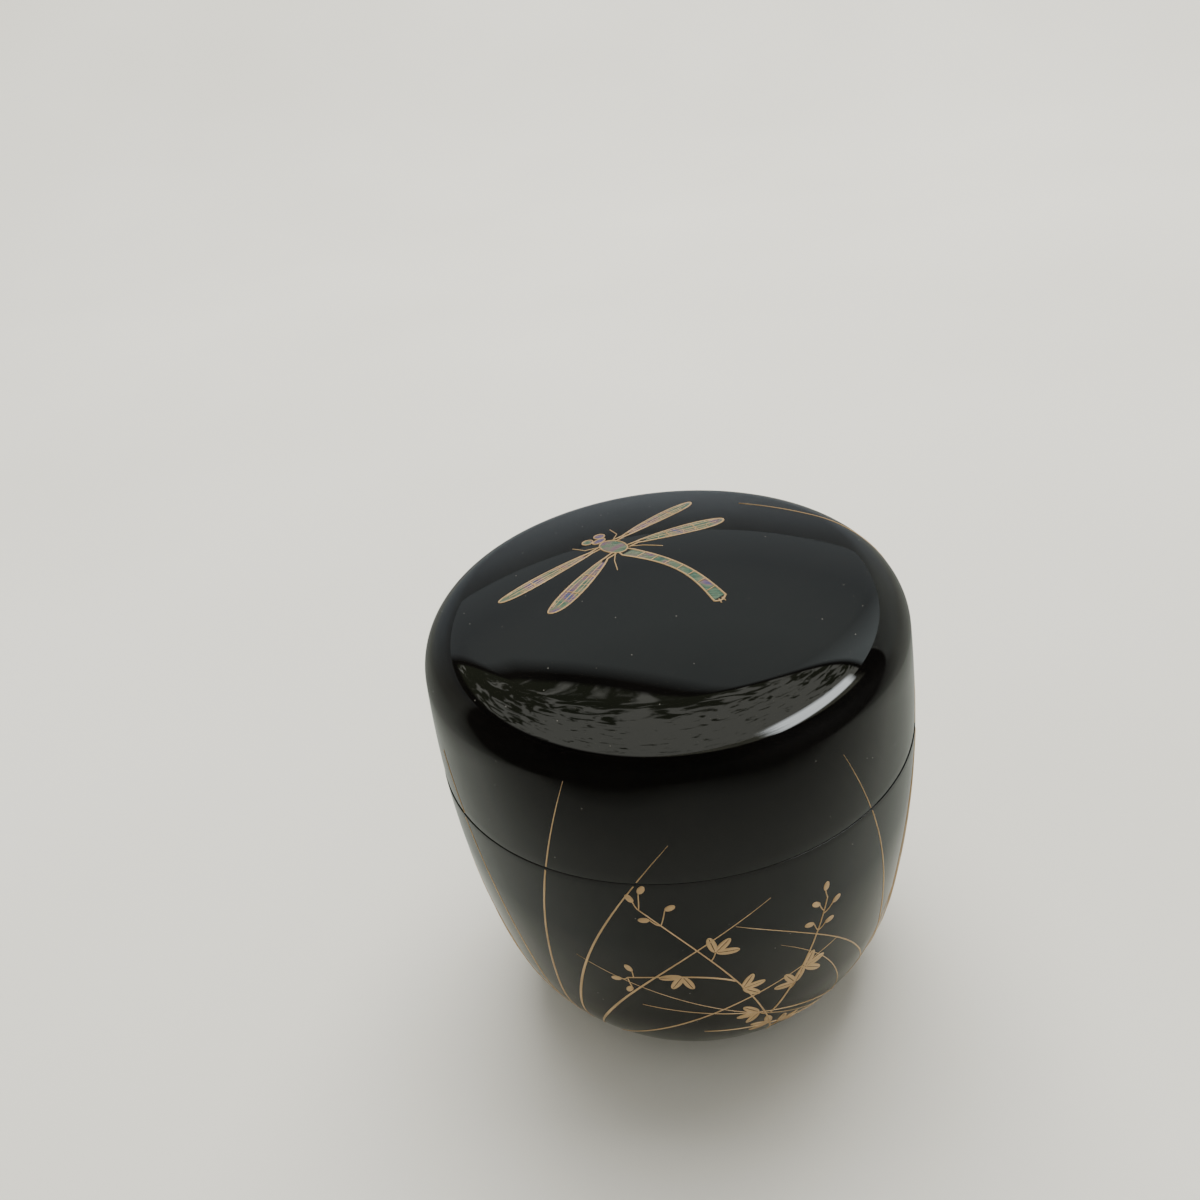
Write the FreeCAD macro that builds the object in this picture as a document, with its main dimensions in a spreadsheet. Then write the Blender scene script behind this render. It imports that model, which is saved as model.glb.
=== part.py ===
import FreeCAD, Part
import Sketcher
import math
import os

from FreeCAD import Vector

# Natsume tea caddy: a turned wood body and a close-fitting lid, both built up in coats.
#
# Each half is a wood core with cloth glued where it wears, a ground coat over that and a
# black lacquer coat outside and inside. The lid slips over a thin collar that stands up
# from the body. Shell chips are let into the lid's lacquer, and gold lines lie on top.
#
# Millimetres, +Z up, origin at the middle of the foot, on the surface that the caddy stands
# on. Angles round the caddy go from the front, -Y, towards the right, +X.

doc = FreeCAD.newDocument("natsume")
sheet = doc.addObject("Spreadsheet::Sheet", "Sizes")

SIZES = {
    # turned form
    "diameter": 66.0,
    "height": 68.0,
    "shoulder_radius": 8.0,
    "lid_inset_depth": 0.08,
    "foot_ring_width": 2.81,
    "foot_recess_depth": 0.5,
    # walls and hollows
    "lid_wall": 1.7,
    "lid_top_wall": 3.0,
    "lid_inner_corner": 7.0,
    "fit_clearance": 0.15,
    "body_wall": 3.1,
    "collar_height": 6.0,
    "floor_height": 3.6,
    "bowl_corner": 16.0,
    # coats and cloth
    "lacquer_coat": 0.25,
    "ground_coat": 0.35,
    "inner_coat": 0.2,
    "cloth_thickness": 0.2,
    "glue_line": 0.05,
    "mouth_cloth_width": 6.0,
    "mouth_cloth_margin": 1.2,
    "base_cloth_margin": 1.0,
    # rounded edges
    "seam_round": 0.15,
    "collar_round": 0.25,
    "foot_round": 0.2,
    # gold lines and shell
    "gold_lift": 0.02,
    "gold_height": 0.06,
    "blade_width": 0.5,
    "fine_blade_width": 0.32,
    "stem_width": 0.3,
    "outline_width": 0.28,
    "vein_width": 0.2,
    "chip_gap": 0.24,
    "overrun": 1.0,
    # shares of the height
    "seam_share": 0.63235,
    "widest_share": 0.65441,
    "lid_side_radius_share": 2.647,
    "body_side_radius_share": 2.206,
    "belly_radius_share": 0.44412,
    "belly_share": 0.33235,
    "leaf_length_share": 0.0441,
    # shares of the diameter
    "dome_radius_share": 1.697,
    "shell_sheet_share": 0.3788,
    "dragonfly_share": 0.3788,
    # shares of the leaf's length
    "leaf_width_share": 0.433,
    "blossom_length_share": 0.5,
    "blossom_width_share": 0.3,
}

for row, (alias, number) in enumerate(SIZES.items(), 1):
    sheet.set(f"A{row}", alias)
    sheet.set(f"B{row}", str(number))
    sheet.setAlias(f"B{row}", alias)
doc.recompute()


class Measure:
    """A length: its value now, and the expression that ties it to the sheet."""

    def __init__(self, value, text):
        self.value = value
        self.text = text

    def __add__(self, other):
        return Measure(self.value + other.value, f"({self.text} + {other.text})")

    def __sub__(self, other):
        return Measure(self.value - other.value, f"({self.text} - {other.text})")

    def half(self):
        return Measure(self.value / 2, f"{self.text} / 2")

    def share(self, alias):
        ratio = size(alias)
        return Measure(self.value * ratio.value, f"({self.text} * {ratio.text})")

    def leg(self, other):
        """The third side of a right triangle whose longest side this is."""
        return Measure(math.sqrt(self.value ** 2 - other.value ** 2),
                       f"sqrt({self.text} ^ 2 - {other.text} ^ 2)")


def size(alias):
    return Measure(float(sheet.get(alias)), f"Sizes.{alias}")


ZERO = Measure(0.0, "0")
HEIGHT = size("height")
SEAM = HEIGHT.share("seam_share")
WIDEST = HEIGHT.share("widest_share")
DIAMETER = size("diameter")
BODY_RADIUS = DIAMETER.half()
LID_RADIUS = BODY_RADIUS - size("lid_inset_depth")
DOME_RADIUS = DIAMETER.share("dome_radius_share")
LID_SIDE_RADIUS = HEIGHT.share("lid_side_radius_share")
LID_LEFT = LID_SIDE_RADIUS - LID_RADIUS
BODY_SIDE_RADIUS = HEIGHT.share("body_side_radius_share")
BODY_LEFT = BODY_SIDE_RADIUS - BODY_RADIUS
BELLY_RADIUS = HEIGHT.share("belly_radius_share")
BELLY = HEIGHT.share("belly_share")
BELLY_REACH = (BODY_SIDE_RADIUS - BELLY_RADIUS).leg(WIDEST - BELLY) - BODY_LEFT
FOOT_RADIUS = BELLY_REACH + BELLY_RADIUS.leg(BELLY)
LACQUER = size("lacquer_coat")
CORE = LACQUER + size("ground_coat")
INNER = size("inner_coat")
CLOTH_TOP = CORE + size("glue_line")
CLOTH_BACK = CLOTH_TOP + size("cloth_thickness")
CLOTH_SEAT = CLOTH_BACK + size("glue_line")
BORE = BODY_RADIUS - size("lid_wall")
COLLAR_OUTSIDE = BORE - size("fit_clearance")
COLLAR_CORE = COLLAR_OUTSIDE - INNER
COLLAR_TOP = SEAM + size("collar_height")
RECESS = size("foot_recess_depth")
RECESS_RADIUS = FOOT_RADIUS - size("foot_ring_width")
FLOOR = size("floor_height")
SHELL_SHEET_RADIUS = DIAMETER.share("shell_sheet_share")


# Geometry of the turned outline

def towards(start, end, length):
    """The point at a length from start in the direction of end."""
    step = math.dist(start, end)
    return (start[0] + (end[0] - start[0]) * length / step,
            start[1] + (end[1] - start[1]) * length / step)


def outer_meeting(first, first_radius, second, second_radius):
    """Where two circles cross, the crossing further from the axis."""
    apart = math.dist(first, second)
    along = (apart ** 2 + first_radius ** 2 - second_radius ** 2) / (2 * apart)
    aside = math.sqrt(first_radius ** 2 - along ** 2)
    foot = towards(first, second, along)
    across = ((second[1] - first[1]) / apart * aside, (first[0] - second[0]) / apart * aside)
    crossings = [(foot[0] + across[0], foot[1] + across[1]),
                 (foot[0] - across[0], foot[1] - across[1])]
    return max(crossings)


def at_height(centre, radius, height):
    """The point of a circle at a height, on the side away from the axis."""
    return (centre[0] + math.sqrt(radius ** 2 - (height - centre[1]) ** 2), height)


class Arc:
    """One arc of an outline, from its lower end to its upper one.

    left and level tie its centre: how far beyond the axis it lies, and how high.
    """

    def __init__(self, radius, centre, low, high, left=None, level=None, on_axis=False):
        self.radius = radius
        self.centre = centre
        self.low = low
        self.high = high
        self.left = left
        self.level = level
        self.on_axis = on_axis

    def angle(self, point):
        return math.atan2(point[1] - self.centre[1], point[0] - self.centre[0])


class Wall:
    """A straight upright stretch of an outline."""

    def __init__(self, low, high):
        self.low = low
        self.high = high


DOME_CENTRE = (0.0, HEIGHT.value - DOME_RADIUS.value)
LID_SIDE_CENTRE = (-LID_LEFT.value, WIDEST.value)
BODY_SIDE_CENTRE = (-BODY_LEFT.value, WIDEST.value)


def lid_skin(offset, low_height):
    """The lid's outline, offset inwards, from a height on its side up to the axis."""
    dome = DOME_RADIUS - offset
    shoulder = size("shoulder_radius") - offset
    side = LID_SIDE_RADIUS - offset
    shoulder_centre = outer_meeting(DOME_CENTRE, dome.value - shoulder.value,
                                    LID_SIDE_CENTRE, side.value - shoulder.value)
    start = at_height(LID_SIDE_CENTRE, side.value, low_height.value)
    side_end = towards(LID_SIDE_CENTRE, shoulder_centre, side.value)
    dome_start = towards(DOME_CENTRE, shoulder_centre, dome.value)
    top = (0.0, HEIGHT.value - offset.value)
    return [Arc(side, LID_SIDE_CENTRE, start, side_end, left=LID_LEFT, level=WIDEST),
            Arc(shoulder, shoulder_centre, side_end, dome_start),
            Arc(dome, DOME_CENTRE, dome_start, top, on_axis=True)]


def body_skin(offset, high_height):
    """The body's outline, offset inwards, from the foot up to a height on its side."""
    side = BODY_SIDE_RADIUS - offset
    belly = BELLY_RADIUS - offset
    belly_centre = at_height(BODY_SIDE_CENTRE, side.value - belly.value, BELLY.value)
    start = at_height(belly_centre, belly.value, offset.value)
    belly_end = towards(BODY_SIDE_CENTRE, belly_centre, side.value)
    top = at_height(BODY_SIDE_CENTRE, side.value, high_height.value)
    return [Arc(belly, belly_centre, start, belly_end, level=BELLY),
            Arc(side, BODY_SIDE_CENTRE, belly_end, top, left=BODY_LEFT, level=WIDEST)]


def lid_inside(backing, low_height):
    """The lid's inner outline, moved out into the wall by backing, from the rim to the axis."""
    bore = BORE + backing
    corner = size("lid_inner_corner") + backing
    dome = DOME_RADIUS - size("lid_top_wall") + backing
    inner_reach = bore.value - corner.value
    corner_centre = (inner_reach,
                     DOME_CENTRE[1] + math.sqrt((dome.value - corner.value) ** 2 - inner_reach ** 2))
    corner_low = (bore.value, corner_centre[1])
    corner_high = towards(DOME_CENTRE, corner_centre, dome.value)
    top = (0.0, DOME_CENTRE[1] + dome.value)
    return [Wall((bore.value, low_height.value), corner_low),
            Arc(corner, corner_centre, corner_low, corner_high),
            Arc(dome, DOME_CENTRE, corner_high, top, on_axis=True)]


def body_inside(backing, high_height):
    """The body's inner outline, moved out into the wall by backing, from the floor up."""
    side = BODY_SIDE_RADIUS - size("body_wall") + backing
    bowl = size("bowl_corner") + backing
    bowl_level = FLOOR.value - backing.value + bowl.value
    bowl_centre = at_height(BODY_SIDE_CENTRE, side.value - bowl.value, bowl_level)
    bowl_low = (bowl_centre[0], bowl_centre[1] - bowl.value)
    bowl_high = towards(BODY_SIDE_CENTRE, bowl_centre, side.value)
    side_high = (BODY_SIDE_CENTRE[0] + side.value, WIDEST.value)
    return [Arc(bowl, bowl_centre, bowl_low, bowl_high),
            Arc(side, BODY_SIDE_CENTRE, bowl_high, side_high, left=BODY_LEFT, level=WIDEST),
            Wall(side_high, (side_high[0], high_height.value))]


# Sketches that are turned about the axis

START_INDEX = 1
END_INDEX = 2
CENTRE_INDEX = 3
LEVEL_AXIS_INDEX = -1
TURNING_AXIS_INDEX = -2
ROOT = (LEVEL_AXIS_INDEX, START_INDEX)


class Outline:
    """A closed outline in a body's XZ plane, right of the axis, held by constraints.

    Its pieces are added in order round the outline. A piece is drawn where the sizes put it,
    and expressions tie the constraints to the sheet.
    """

    def __init__(self, body, name):
        self.sketch = body.newObject("Sketcher::SketchObject", name)
        planes = [plane for plane in body.Origin.OriginFeatures if plane.Role == "XZ_Plane"]
        self.sketch.AttachmentSupport = [(planes[0], "")]
        self.sketch.MapMode = "FlatFace"
        self.first_end = None
        self.last_end = None
        self.place = None

    def hold(self, *parts):
        return self.sketch.addConstraint(Sketcher.Constraint(*parts))

    def tie(self, length, *parts):
        index = self.hold(*parts, length.value)
        self.sketch.setExpression(f"Constraints[{index}]", length.text)

    def tie_place(self, end, reach, level):
        """Tie a point's distance from the axis and its height, where they are given."""
        if reach is not None:
            if reach.value:
                self.tie(reach, "DistanceX", *ROOT, *end)
            else:
                self.hold("PointOnObject", *end, TURNING_AXIS_INDEX)
        if level is not None:
            if level.value:
                self.tie(level, "DistanceY", *ROOT, *end)
            else:
                self.hold("PointOnObject", *end, LEVEL_AXIS_INDEX)

    def join(self, start_end, smooth):
        if self.last_end is None:
            self.first_end = start_end
        elif smooth:
            self.hold("Tangent", *self.last_end, *start_end)
        else:
            self.hold("Coincident", *self.last_end, *start_end)

    def begin(self, point):
        self.place = point

    def line(self, point, reach=None, level=None, smooth=False, close=False):
        """A level or upright line to the point. A line on the axis is held by its two ends."""
        flat = abs(point[1] - self.place[1]) < abs(point[0] - self.place[0])
        on_axis = point[0] == 0 and self.place[0] == 0
        index = self.sketch.addGeometry(Part.LineSegment(Vector(*self.place, 0), Vector(*point, 0)), False)
        self.join((index, START_INDEX), smooth)
        if not on_axis:
            self.hold("Horizontal" if flat else "Vertical", index)
        self.last_end = (index, END_INDEX)
        if close:
            self.hold("Coincident", *self.last_end, *self.first_end)
        else:
            self.tie_place(self.last_end, reach, level)
        self.place = point

    def follow(self, pieces, up=True, smooth=False):
        """Run along the pieces of an outline, each smooth to the one before it."""
        for piece in pieces if up else reversed(pieces):
            target = piece.high if up else piece.low
            if isinstance(piece, Wall):
                self.line(target, smooth=smooth)
            else:
                self.arc(piece, up, smooth)
            self.place = target
            smooth = True

    def arc(self, piece, up, smooth):
        circle = Part.Circle(Vector(*piece.centre, 0), Vector(0, 0, 1), piece.radius.value)
        shape = Part.ArcOfCircle(circle, piece.angle(piece.low), piece.angle(piece.high))
        index = self.sketch.addGeometry(shape, False)
        self.join((index, START_INDEX if up else END_INDEX), smooth)
        self.tie(piece.radius, "Radius", index)
        centre = (index, CENTRE_INDEX)
        if piece.on_axis:
            self.hold("PointOnObject", *centre, TURNING_AXIS_INDEX)
            self.hold("PointOnObject", index, END_INDEX, TURNING_AXIS_INDEX)
            self.tie(HEIGHT - DOME_RADIUS + piece.radius, "DistanceY", *ROOT, index, END_INDEX)
        if piece.left is not None:
            self.tie(piece.left, "DistanceX", *centre, *ROOT)
        if piece.level is not None:
            self.tie(piece.level, "DistanceY", *ROOT, *centre)
        self.last_end = (index, END_INDEX if up else START_INDEX)


def turned(label, draw):
    """A body turned about the axis from the outline that draw makes."""
    body = doc.addObject("PartDesign::Body", label)
    outline = Outline(body, f"{label}_outline")
    draw(outline)
    revolution = body.newObject("PartDesign::Revolution", f"{label}_turning")
    revolution.Profile = outline.sketch
    revolution.ReferenceAxis = (outline.sketch, ["V_Axis"])
    revolution.Angle = 360
    doc.recompute()
    return body


def cut_groove(body, name, draw):
    """Turn a groove in a body from the outline that draw makes."""
    before = body.Shape.Volume
    outline = Outline(body, f"{name}_outline")
    draw(outline)
    groove = body.newObject("PartDesign::Groove", name)
    groove.Profile = outline.sketch
    groove.ReferenceAxis = (outline.sketch, ["V_Axis"])
    groove.Angle = 360
    doc.recompute()
    if body.Shape.Volume >= before:
        raise RuntimeError(f"{name} cuts nothing")


def round_edges(body, name, alias, corners):
    """Round the circular edges of a body that pass through the given corners."""
    names = []
    for index, edge in enumerate(body.Shape.Edges, 1):
        if edge.Degenerated or not edge.Closed or not isinstance(edge.Curve, Part.Circle):
            continue
        spot = (edge.Curve.Radius, edge.Curve.Center.z)
        if any(math.dist(spot, corner) < size(alias).value / 4 for corner in corners):
            names.append(f"Edge{index}")
    if len(names) != len(corners):
        raise RuntimeError(f"{name} found {len(names)} edges for {len(corners)} corners")
    base = body.Tip
    fillet = body.newObject("PartDesign::Fillet", name)
    fillet.Base = (base, names)
    fillet.setExpression("Radius", size(alias).text)
    doc.recompute()


# The coats and cores of the two halves

def body_coat(outside, inside):
    """A coat on the body between two offsets: ledge, side, foot ring and base."""
    def draw(outline):
        outer = body_skin(outside, SEAM - outside)
        inner = body_skin(inside, SEAM - inside)
        base_reach = RECESS_RADIUS + outside
        back_reach = RECESS_RADIUS + inside
        base_level = RECESS + outside
        back_level = RECESS + inside
        ledge = SEAM - outside
        ledge_back = SEAM - inside
        outline.begin((0.0, base_level.value))
        outline.line((base_reach.value, base_level.value), reach=base_reach)
        outline.line((base_reach.value, outside.value), level=outside)
        outline.line(outer[0].low)
        outline.follow(outer)
        outline.line((COLLAR_CORE.value, ledge.value), reach=COLLAR_CORE, level=ledge)
        outline.line((COLLAR_CORE.value, ledge_back.value), level=ledge_back)
        outline.line(inner[-1].high)
        outline.follow(inner, up=False)
        outline.line((back_reach.value, inside.value), reach=back_reach, level=inside)
        outline.line((back_reach.value, back_level.value), level=back_level)
        outline.line((0.0, back_level.value), reach=ZERO)
        outline.line((0.0, base_level.value), close=True)
        outline.tie_place(outline.first_end, ZERO, base_level)
    return draw


def body_core(outline):
    """The wood cup: foot, side, ledge, collar and hollow."""
    outer = body_skin(CORE, SEAM - CORE)
    inner = body_inside(INNER, COLLAR_TOP - INNER)
    base_reach = RECESS_RADIUS + CORE
    base_level = RECESS + CORE
    ledge = SEAM - CORE
    mouth = COLLAR_TOP - INNER
    floor = FLOOR - INNER
    outline.begin((0.0, base_level.value))
    outline.line((base_reach.value, base_level.value), reach=base_reach)
    outline.line((base_reach.value, CORE.value), level=CORE)
    outline.line(outer[0].low)
    outline.follow(outer)
    outline.line((COLLAR_CORE.value, ledge.value), reach=COLLAR_CORE, level=ledge)
    outline.line((COLLAR_CORE.value, mouth.value), level=mouth)
    outline.line(inner[-1].high)
    outline.follow(inner, up=False)
    outline.line((0.0, floor.value), reach=ZERO, level=floor, smooth=True)
    outline.line((0.0, base_level.value), close=True)
    outline.tie_place(outline.first_end, ZERO, base_level)


def body_lining(outline):
    """The lacquer inside the body, over the collar's top and down its outside."""
    back = body_inside(INNER, COLLAR_TOP - INNER)
    face = body_inside(ZERO, COLLAR_TOP)
    mouth = COLLAR_TOP - INNER
    floor = FLOOR - INNER
    outline.begin((0.0, floor.value))
    outline.line(back[0].low)
    outline.follow(back, smooth=True)
    outline.line((COLLAR_CORE.value, mouth.value), reach=COLLAR_CORE, level=mouth)
    outline.line((COLLAR_CORE.value, SEAM.value), level=SEAM)
    outline.line((COLLAR_OUTSIDE.value, SEAM.value), reach=COLLAR_OUTSIDE)
    outline.line((COLLAR_OUTSIDE.value, COLLAR_TOP.value), level=COLLAR_TOP)
    outline.line(face[-1].high)
    outline.follow(face, up=False)
    outline.line((0.0, FLOOR.value), reach=ZERO, level=FLOOR, smooth=True)
    outline.line((0.0, floor.value), close=True)
    outline.tie_place(outline.first_end, ZERO, floor)


def lid_coat(outside, inside):
    """A coat on the lid between two offsets: rim, side, shoulder and dome."""
    def draw(outline):
        outer = lid_skin(outside, SEAM + outside)
        inner = lid_skin(inside, SEAM + inside)
        reach = BORE + INNER
        rim = SEAM + outside
        rim_back = SEAM + inside
        outline.begin((reach.value, rim.value))
        outline.line(outer[0].low)
        outline.follow(outer)
        outline.line(inner[-1].high)
        outline.follow(inner, up=False)
        outline.line((reach.value, rim_back.value), reach=reach, level=rim_back)
        outline.line((reach.value, rim.value), close=True)
        outline.tie_place(outline.first_end, None, rim)
    return draw


def sheet_edge(offset):
    """The edge of the part of the dome that may hold shell, at an offset into the lid."""
    reach = SHELL_SHEET_RADIUS.value
    radius = DOME_RADIUS.value - offset.value
    return (reach, DOME_CENTRE[1] + math.sqrt(radius ** 2 - reach ** 2))


def dome_sheet(outline):
    """The sheet that shell chips are cut from. It fills the same space as the dome's lacquer."""
    outer_edge = sheet_edge(ZERO)
    inner_edge = sheet_edge(LACQUER)
    top = (0.0, HEIGHT.value)
    underside = (0.0, HEIGHT.value - LACQUER.value)
    outline.begin(inner_edge)
    outline.line(outer_edge, reach=SHELL_SHEET_RADIUS)
    outline.follow([Arc(DOME_RADIUS, DOME_CENTRE, outer_edge, top, on_axis=True)])
    outline.line(underside)
    outline.follow([Arc(DOME_RADIUS - LACQUER, DOME_CENTRE, inner_edge, underside, on_axis=True)],
                   up=False)
    outline.hold("Coincident", *outline.last_end, *outline.first_end)


def lid_core(outline):
    """The wood lid: rim, side, top and hollow."""
    outer = lid_skin(CORE, SEAM + CORE)
    inner = lid_inside(INNER, SEAM + CORE)
    reach = BORE + INNER
    rim = SEAM + CORE
    outline.begin((reach.value, rim.value))
    outline.line(outer[0].low)
    outline.follow(outer)
    outline.line(inner[-1].high)
    outline.follow(inner, up=False)
    outline.hold("Coincident", *outline.last_end, *outline.first_end)
    outline.tie_place(outline.first_end, reach, rim)


def lid_lining(outline):
    """The lacquer inside the lid, down to its rim."""
    back = lid_inside(INNER, SEAM)
    face = lid_inside(ZERO, SEAM)
    outline.begin((BORE.value, SEAM.value))
    outline.line((BORE.value + INNER.value, SEAM.value), reach=BORE + INNER)
    outline.follow(back)
    outline.line(face[-1].high)
    outline.follow(face, up=False)
    outline.hold("Coincident", *outline.last_end, *outline.first_end)
    outline.tie_place(outline.first_end, BORE, SEAM)


def strip(centre, left, side_radius, outside, inside, low, high):
    """The section of a strip of cloth, or of its seat, along one side arc."""
    def draw(outline):
        outer = side_radius - outside
        inner = side_radius - inside
        outer_low = at_height(centre, outer.value, low.value)
        outer_high = at_height(centre, outer.value, high.value)
        inner_low = at_height(centre, inner.value, low.value)
        inner_high = at_height(centre, inner.value, high.value)
        outline.begin(inner_low)
        outline.line(outer_low)
        outline.follow([Arc(outer, centre, outer_low, outer_high, left=left, level=WIDEST)])
        outline.tie_place(outline.last_end, None, high)
        outline.line(inner_high)
        outline.follow([Arc(inner, centre, inner_low, inner_high, left=left, level=WIDEST)], up=False)
        outline.hold("Coincident", *outline.last_end, *outline.first_end)
        outline.tie_place(outline.first_end, None, low)
    return draw


def disc(reach, low, high):
    """The section of a disc on the axis."""
    def draw(outline):
        outline.begin((0.0, low.value))
        outline.line((reach.value, low.value), reach=reach)
        outline.line((reach.value, high.value), level=high)
        outline.line((0.0, high.value), reach=ZERO)
        outline.line((0.0, low.value), close=True)
        outline.tie_place(outline.first_end, ZERO, low)
    return draw


CLOTH_WIDTH = size("mouth_cloth_width")
GLUE = size("glue_line")
LID_CLOTH_LOW = SEAM + CORE + size("mouth_cloth_margin")
LID_CLOTH_HIGH = LID_CLOTH_LOW + CLOTH_WIDTH
BODY_CLOTH_HIGH = SEAM - CORE - size("mouth_cloth_margin")
BODY_CLOTH_LOW = BODY_CLOTH_HIGH - CLOTH_WIDTH
BASE_CLOTH_LOW = RECESS + CLOTH_TOP
BASE_CLOTH_HIGH = RECESS + CLOTH_BACK

lid_side = (LID_SIDE_CENTRE, LID_LEFT, LID_SIDE_RADIUS)
body_side = (BODY_SIDE_CENTRE, BODY_LEFT, BODY_SIDE_RADIUS)
base_cloth_reach = RECESS_RADIUS - size("base_cloth_margin")
proud = ZERO - size("overrun") + CORE

body_wood_core = turned("body_wood_core", body_core)
cut_groove(body_wood_core, "mouth_cloth_seat",
           strip(*body_side, proud, CLOTH_SEAT, BODY_CLOTH_LOW - GLUE, BODY_CLOTH_HIGH + GLUE))
cut_groove(body_wood_core, "base_cloth_seat",
           disc(base_cloth_reach + GLUE, RECESS + CORE - size("overrun"), RECESS + CLOTH_SEAT))
body_mouth_cloth = turned("body_mouth_cloth",
                          strip(*body_side, CLOTH_TOP, CLOTH_BACK, BODY_CLOTH_LOW, BODY_CLOTH_HIGH))
body_base_cloth = turned("body_base_cloth", disc(base_cloth_reach, BASE_CLOTH_LOW, BASE_CLOTH_HIGH))
body_ground_coat = turned("body_ground_coat", body_coat(LACQUER, CORE))
body_outer_lacquer = turned("body_outer_lacquer", body_coat(ZERO, LACQUER))
body_inner_lacquer = turned("body_inner_lacquer", body_lining)

lid_wood_core = turned("lid_wood_core", lid_core)
cut_groove(lid_wood_core, "rim_cloth_seat",
           strip(*lid_side, proud, CLOTH_SEAT, LID_CLOTH_LOW - GLUE, LID_CLOTH_HIGH + GLUE))
lid_mouth_cloth = turned("lid_mouth_cloth",
                         strip(*lid_side, CLOTH_TOP, CLOTH_BACK, LID_CLOTH_LOW, LID_CLOTH_HIGH))
lid_ground_coat = turned("lid_ground_coat", lid_coat(LACQUER, CORE))
lid_lacquer_blank = turned("lid_lacquer_blank", lid_coat(ZERO, LACQUER))
lid_inner_lacquer = turned("lid_inner_lacquer", lid_lining)
shell_sheet = turned("shell_sheet", dome_sheet)

ledge_corner = at_height(BODY_SIDE_CENTRE, BODY_SIDE_RADIUS.value, SEAM.value)
rim_corner = at_height(LID_SIDE_CENTRE, LID_SIDE_RADIUS.value, SEAM.value)
foot_corner = body_skin(ZERO, SEAM)[0].low
round_edges(body_outer_lacquer, "ledge_round", "seam_round", [ledge_corner])
round_edges(body_outer_lacquer, "foot_ring_round", "foot_round",
            [foot_corner, (RECESS_RADIUS.value, 0.0)])
round_edges(body_inner_lacquer, "mouth_round", "collar_round",
            [(COLLAR_OUTSIDE.value, COLLAR_TOP.value),
             (BODY_RADIUS.value - size("body_wall").value, COLLAR_TOP.value)])
round_edges(lid_lacquer_blank, "rim_round", "seam_round", [rim_corner])


# Places on the outside, for the shell and the gold

class Skin:
    """Places on the caddy's outside, by the angle and the length along the outline.

    Lengths start at the seam. They are negative down the body, and positive up the lid and
    over its shoulder to the middle of the top.
    """

    def __init__(self):
        self.lid = lid_skin(ZERO, SEAM)
        self.body = body_skin(ZERO, SEAM)
        self.lid_length = sum(self.span(arc) for arc in self.lid)

    @staticmethod
    def span(arc):
        return arc.radius.value * (arc.angle(arc.high) - arc.angle(arc.low))

    def place(self, angle, length):
        """The point and the outward direction at an angle and a length."""
        left = abs(length)
        pieces = self.lid if length > 0 else list(reversed(self.body))
        for arc in pieces[:-1]:
            if left <= self.span(arc):
                break
            left -= self.span(arc)
        else:
            arc = pieces[-1]
        turn = left / arc.radius.value
        tilt = arc.angle(arc.low) + turn if length > 0 else arc.angle(arc.high) - turn
        reach = arc.centre[0] + arc.radius.value * math.cos(tilt)
        level = arc.centre[1] + arc.radius.value * math.sin(tilt)
        around = Vector(math.sin(angle), -math.cos(angle), 0)
        outwards = around * math.cos(tilt) + Vector(0, 0, math.sin(tilt))
        return around * reach + Vector(0, 0, level), outwards

    def top_place(self, across, back):
        """The same for a spot on the lid, by its distances from the middle of the top."""
        length = self.lid_length - math.hypot(across, back)
        return self.place(math.atan2(across, -back), length)


skin = Skin()


def bezier(knots, share):
    """The point of a Bezier curve through two or more knots."""
    while len(knots) > 1:
        knots = [tuple(a + (b - a) * share for a, b in zip(first, second))
                 for first, second in zip(knots, knots[1:])]
    return knots[0]


CROWN_SHARE = 0.7
SECTION_COUNT = 16


def even_shares(count):
    """Evenly spaced shares from 0 to 1, both included."""
    return [step / (count - 1) for step in range(count)]


SECTION_SHARES = even_shares(SECTION_COUNT)


def raised_line(places, widths, layer=0):
    """A thin raised line through places on the skin, lofted through small sections."""
    height = size("gold_height").value
    lift = size("gold_lift").value + layer * (height + size("gold_lift").value)
    sections = []
    for index, ((point, outwards), width) in enumerate(zip(places, widths)):
        ahead = places[min(index + 1, len(places) - 1)][0] - places[max(index - 1, 0)][0]
        side = outwards.cross(ahead).normalize() * (width / 2)
        low = point + outwards * lift
        high = low + outwards * height
        corners = [low - side, low + side, high + side * CROWN_SHARE, high - side * CROWN_SHARE]
        sections.append(Part.makePolygon(corners + corners[:1]))
    return Part.makeLoft(sections, True, False)


def feature(label, solids):
    """An object that holds solids made in this file's own code."""
    holder = doc.addObject("Part::Feature", label)
    holder.Shape = Part.makeCompound(solids)
    holder.Placement = FreeCAD.Placement()
    return holder


BLADE_ROOT_SHARE = 0.5
BLADE_SWELLING_SHARE = 0.3
BLADE_TIP_SHARE = 0.12
BLADE_TAPER_SHARE = 0.55
LEAF_END_SHARE = 0.1
LEAF_FULLNESS_SHARE = 0.8


def blade_swell(share):
    """A grass blade's width as a share of its widest: swelling from the root, fine at the tip."""
    swelling = min(1.0, BLADE_ROOT_SHARE + (1 - BLADE_ROOT_SHARE) * share / BLADE_SWELLING_SHARE)
    return max(BLADE_TIP_SHARE, swelling * (1 - share) ** BLADE_TAPER_SHARE)


def leaf_swell(share):
    """A leaf's width as a share of its widest."""
    return LEAF_END_SHARE + (1 - LEAF_END_SHARE) * math.sin(math.pi * share) ** LEAF_FULLNESS_SHARE


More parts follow.
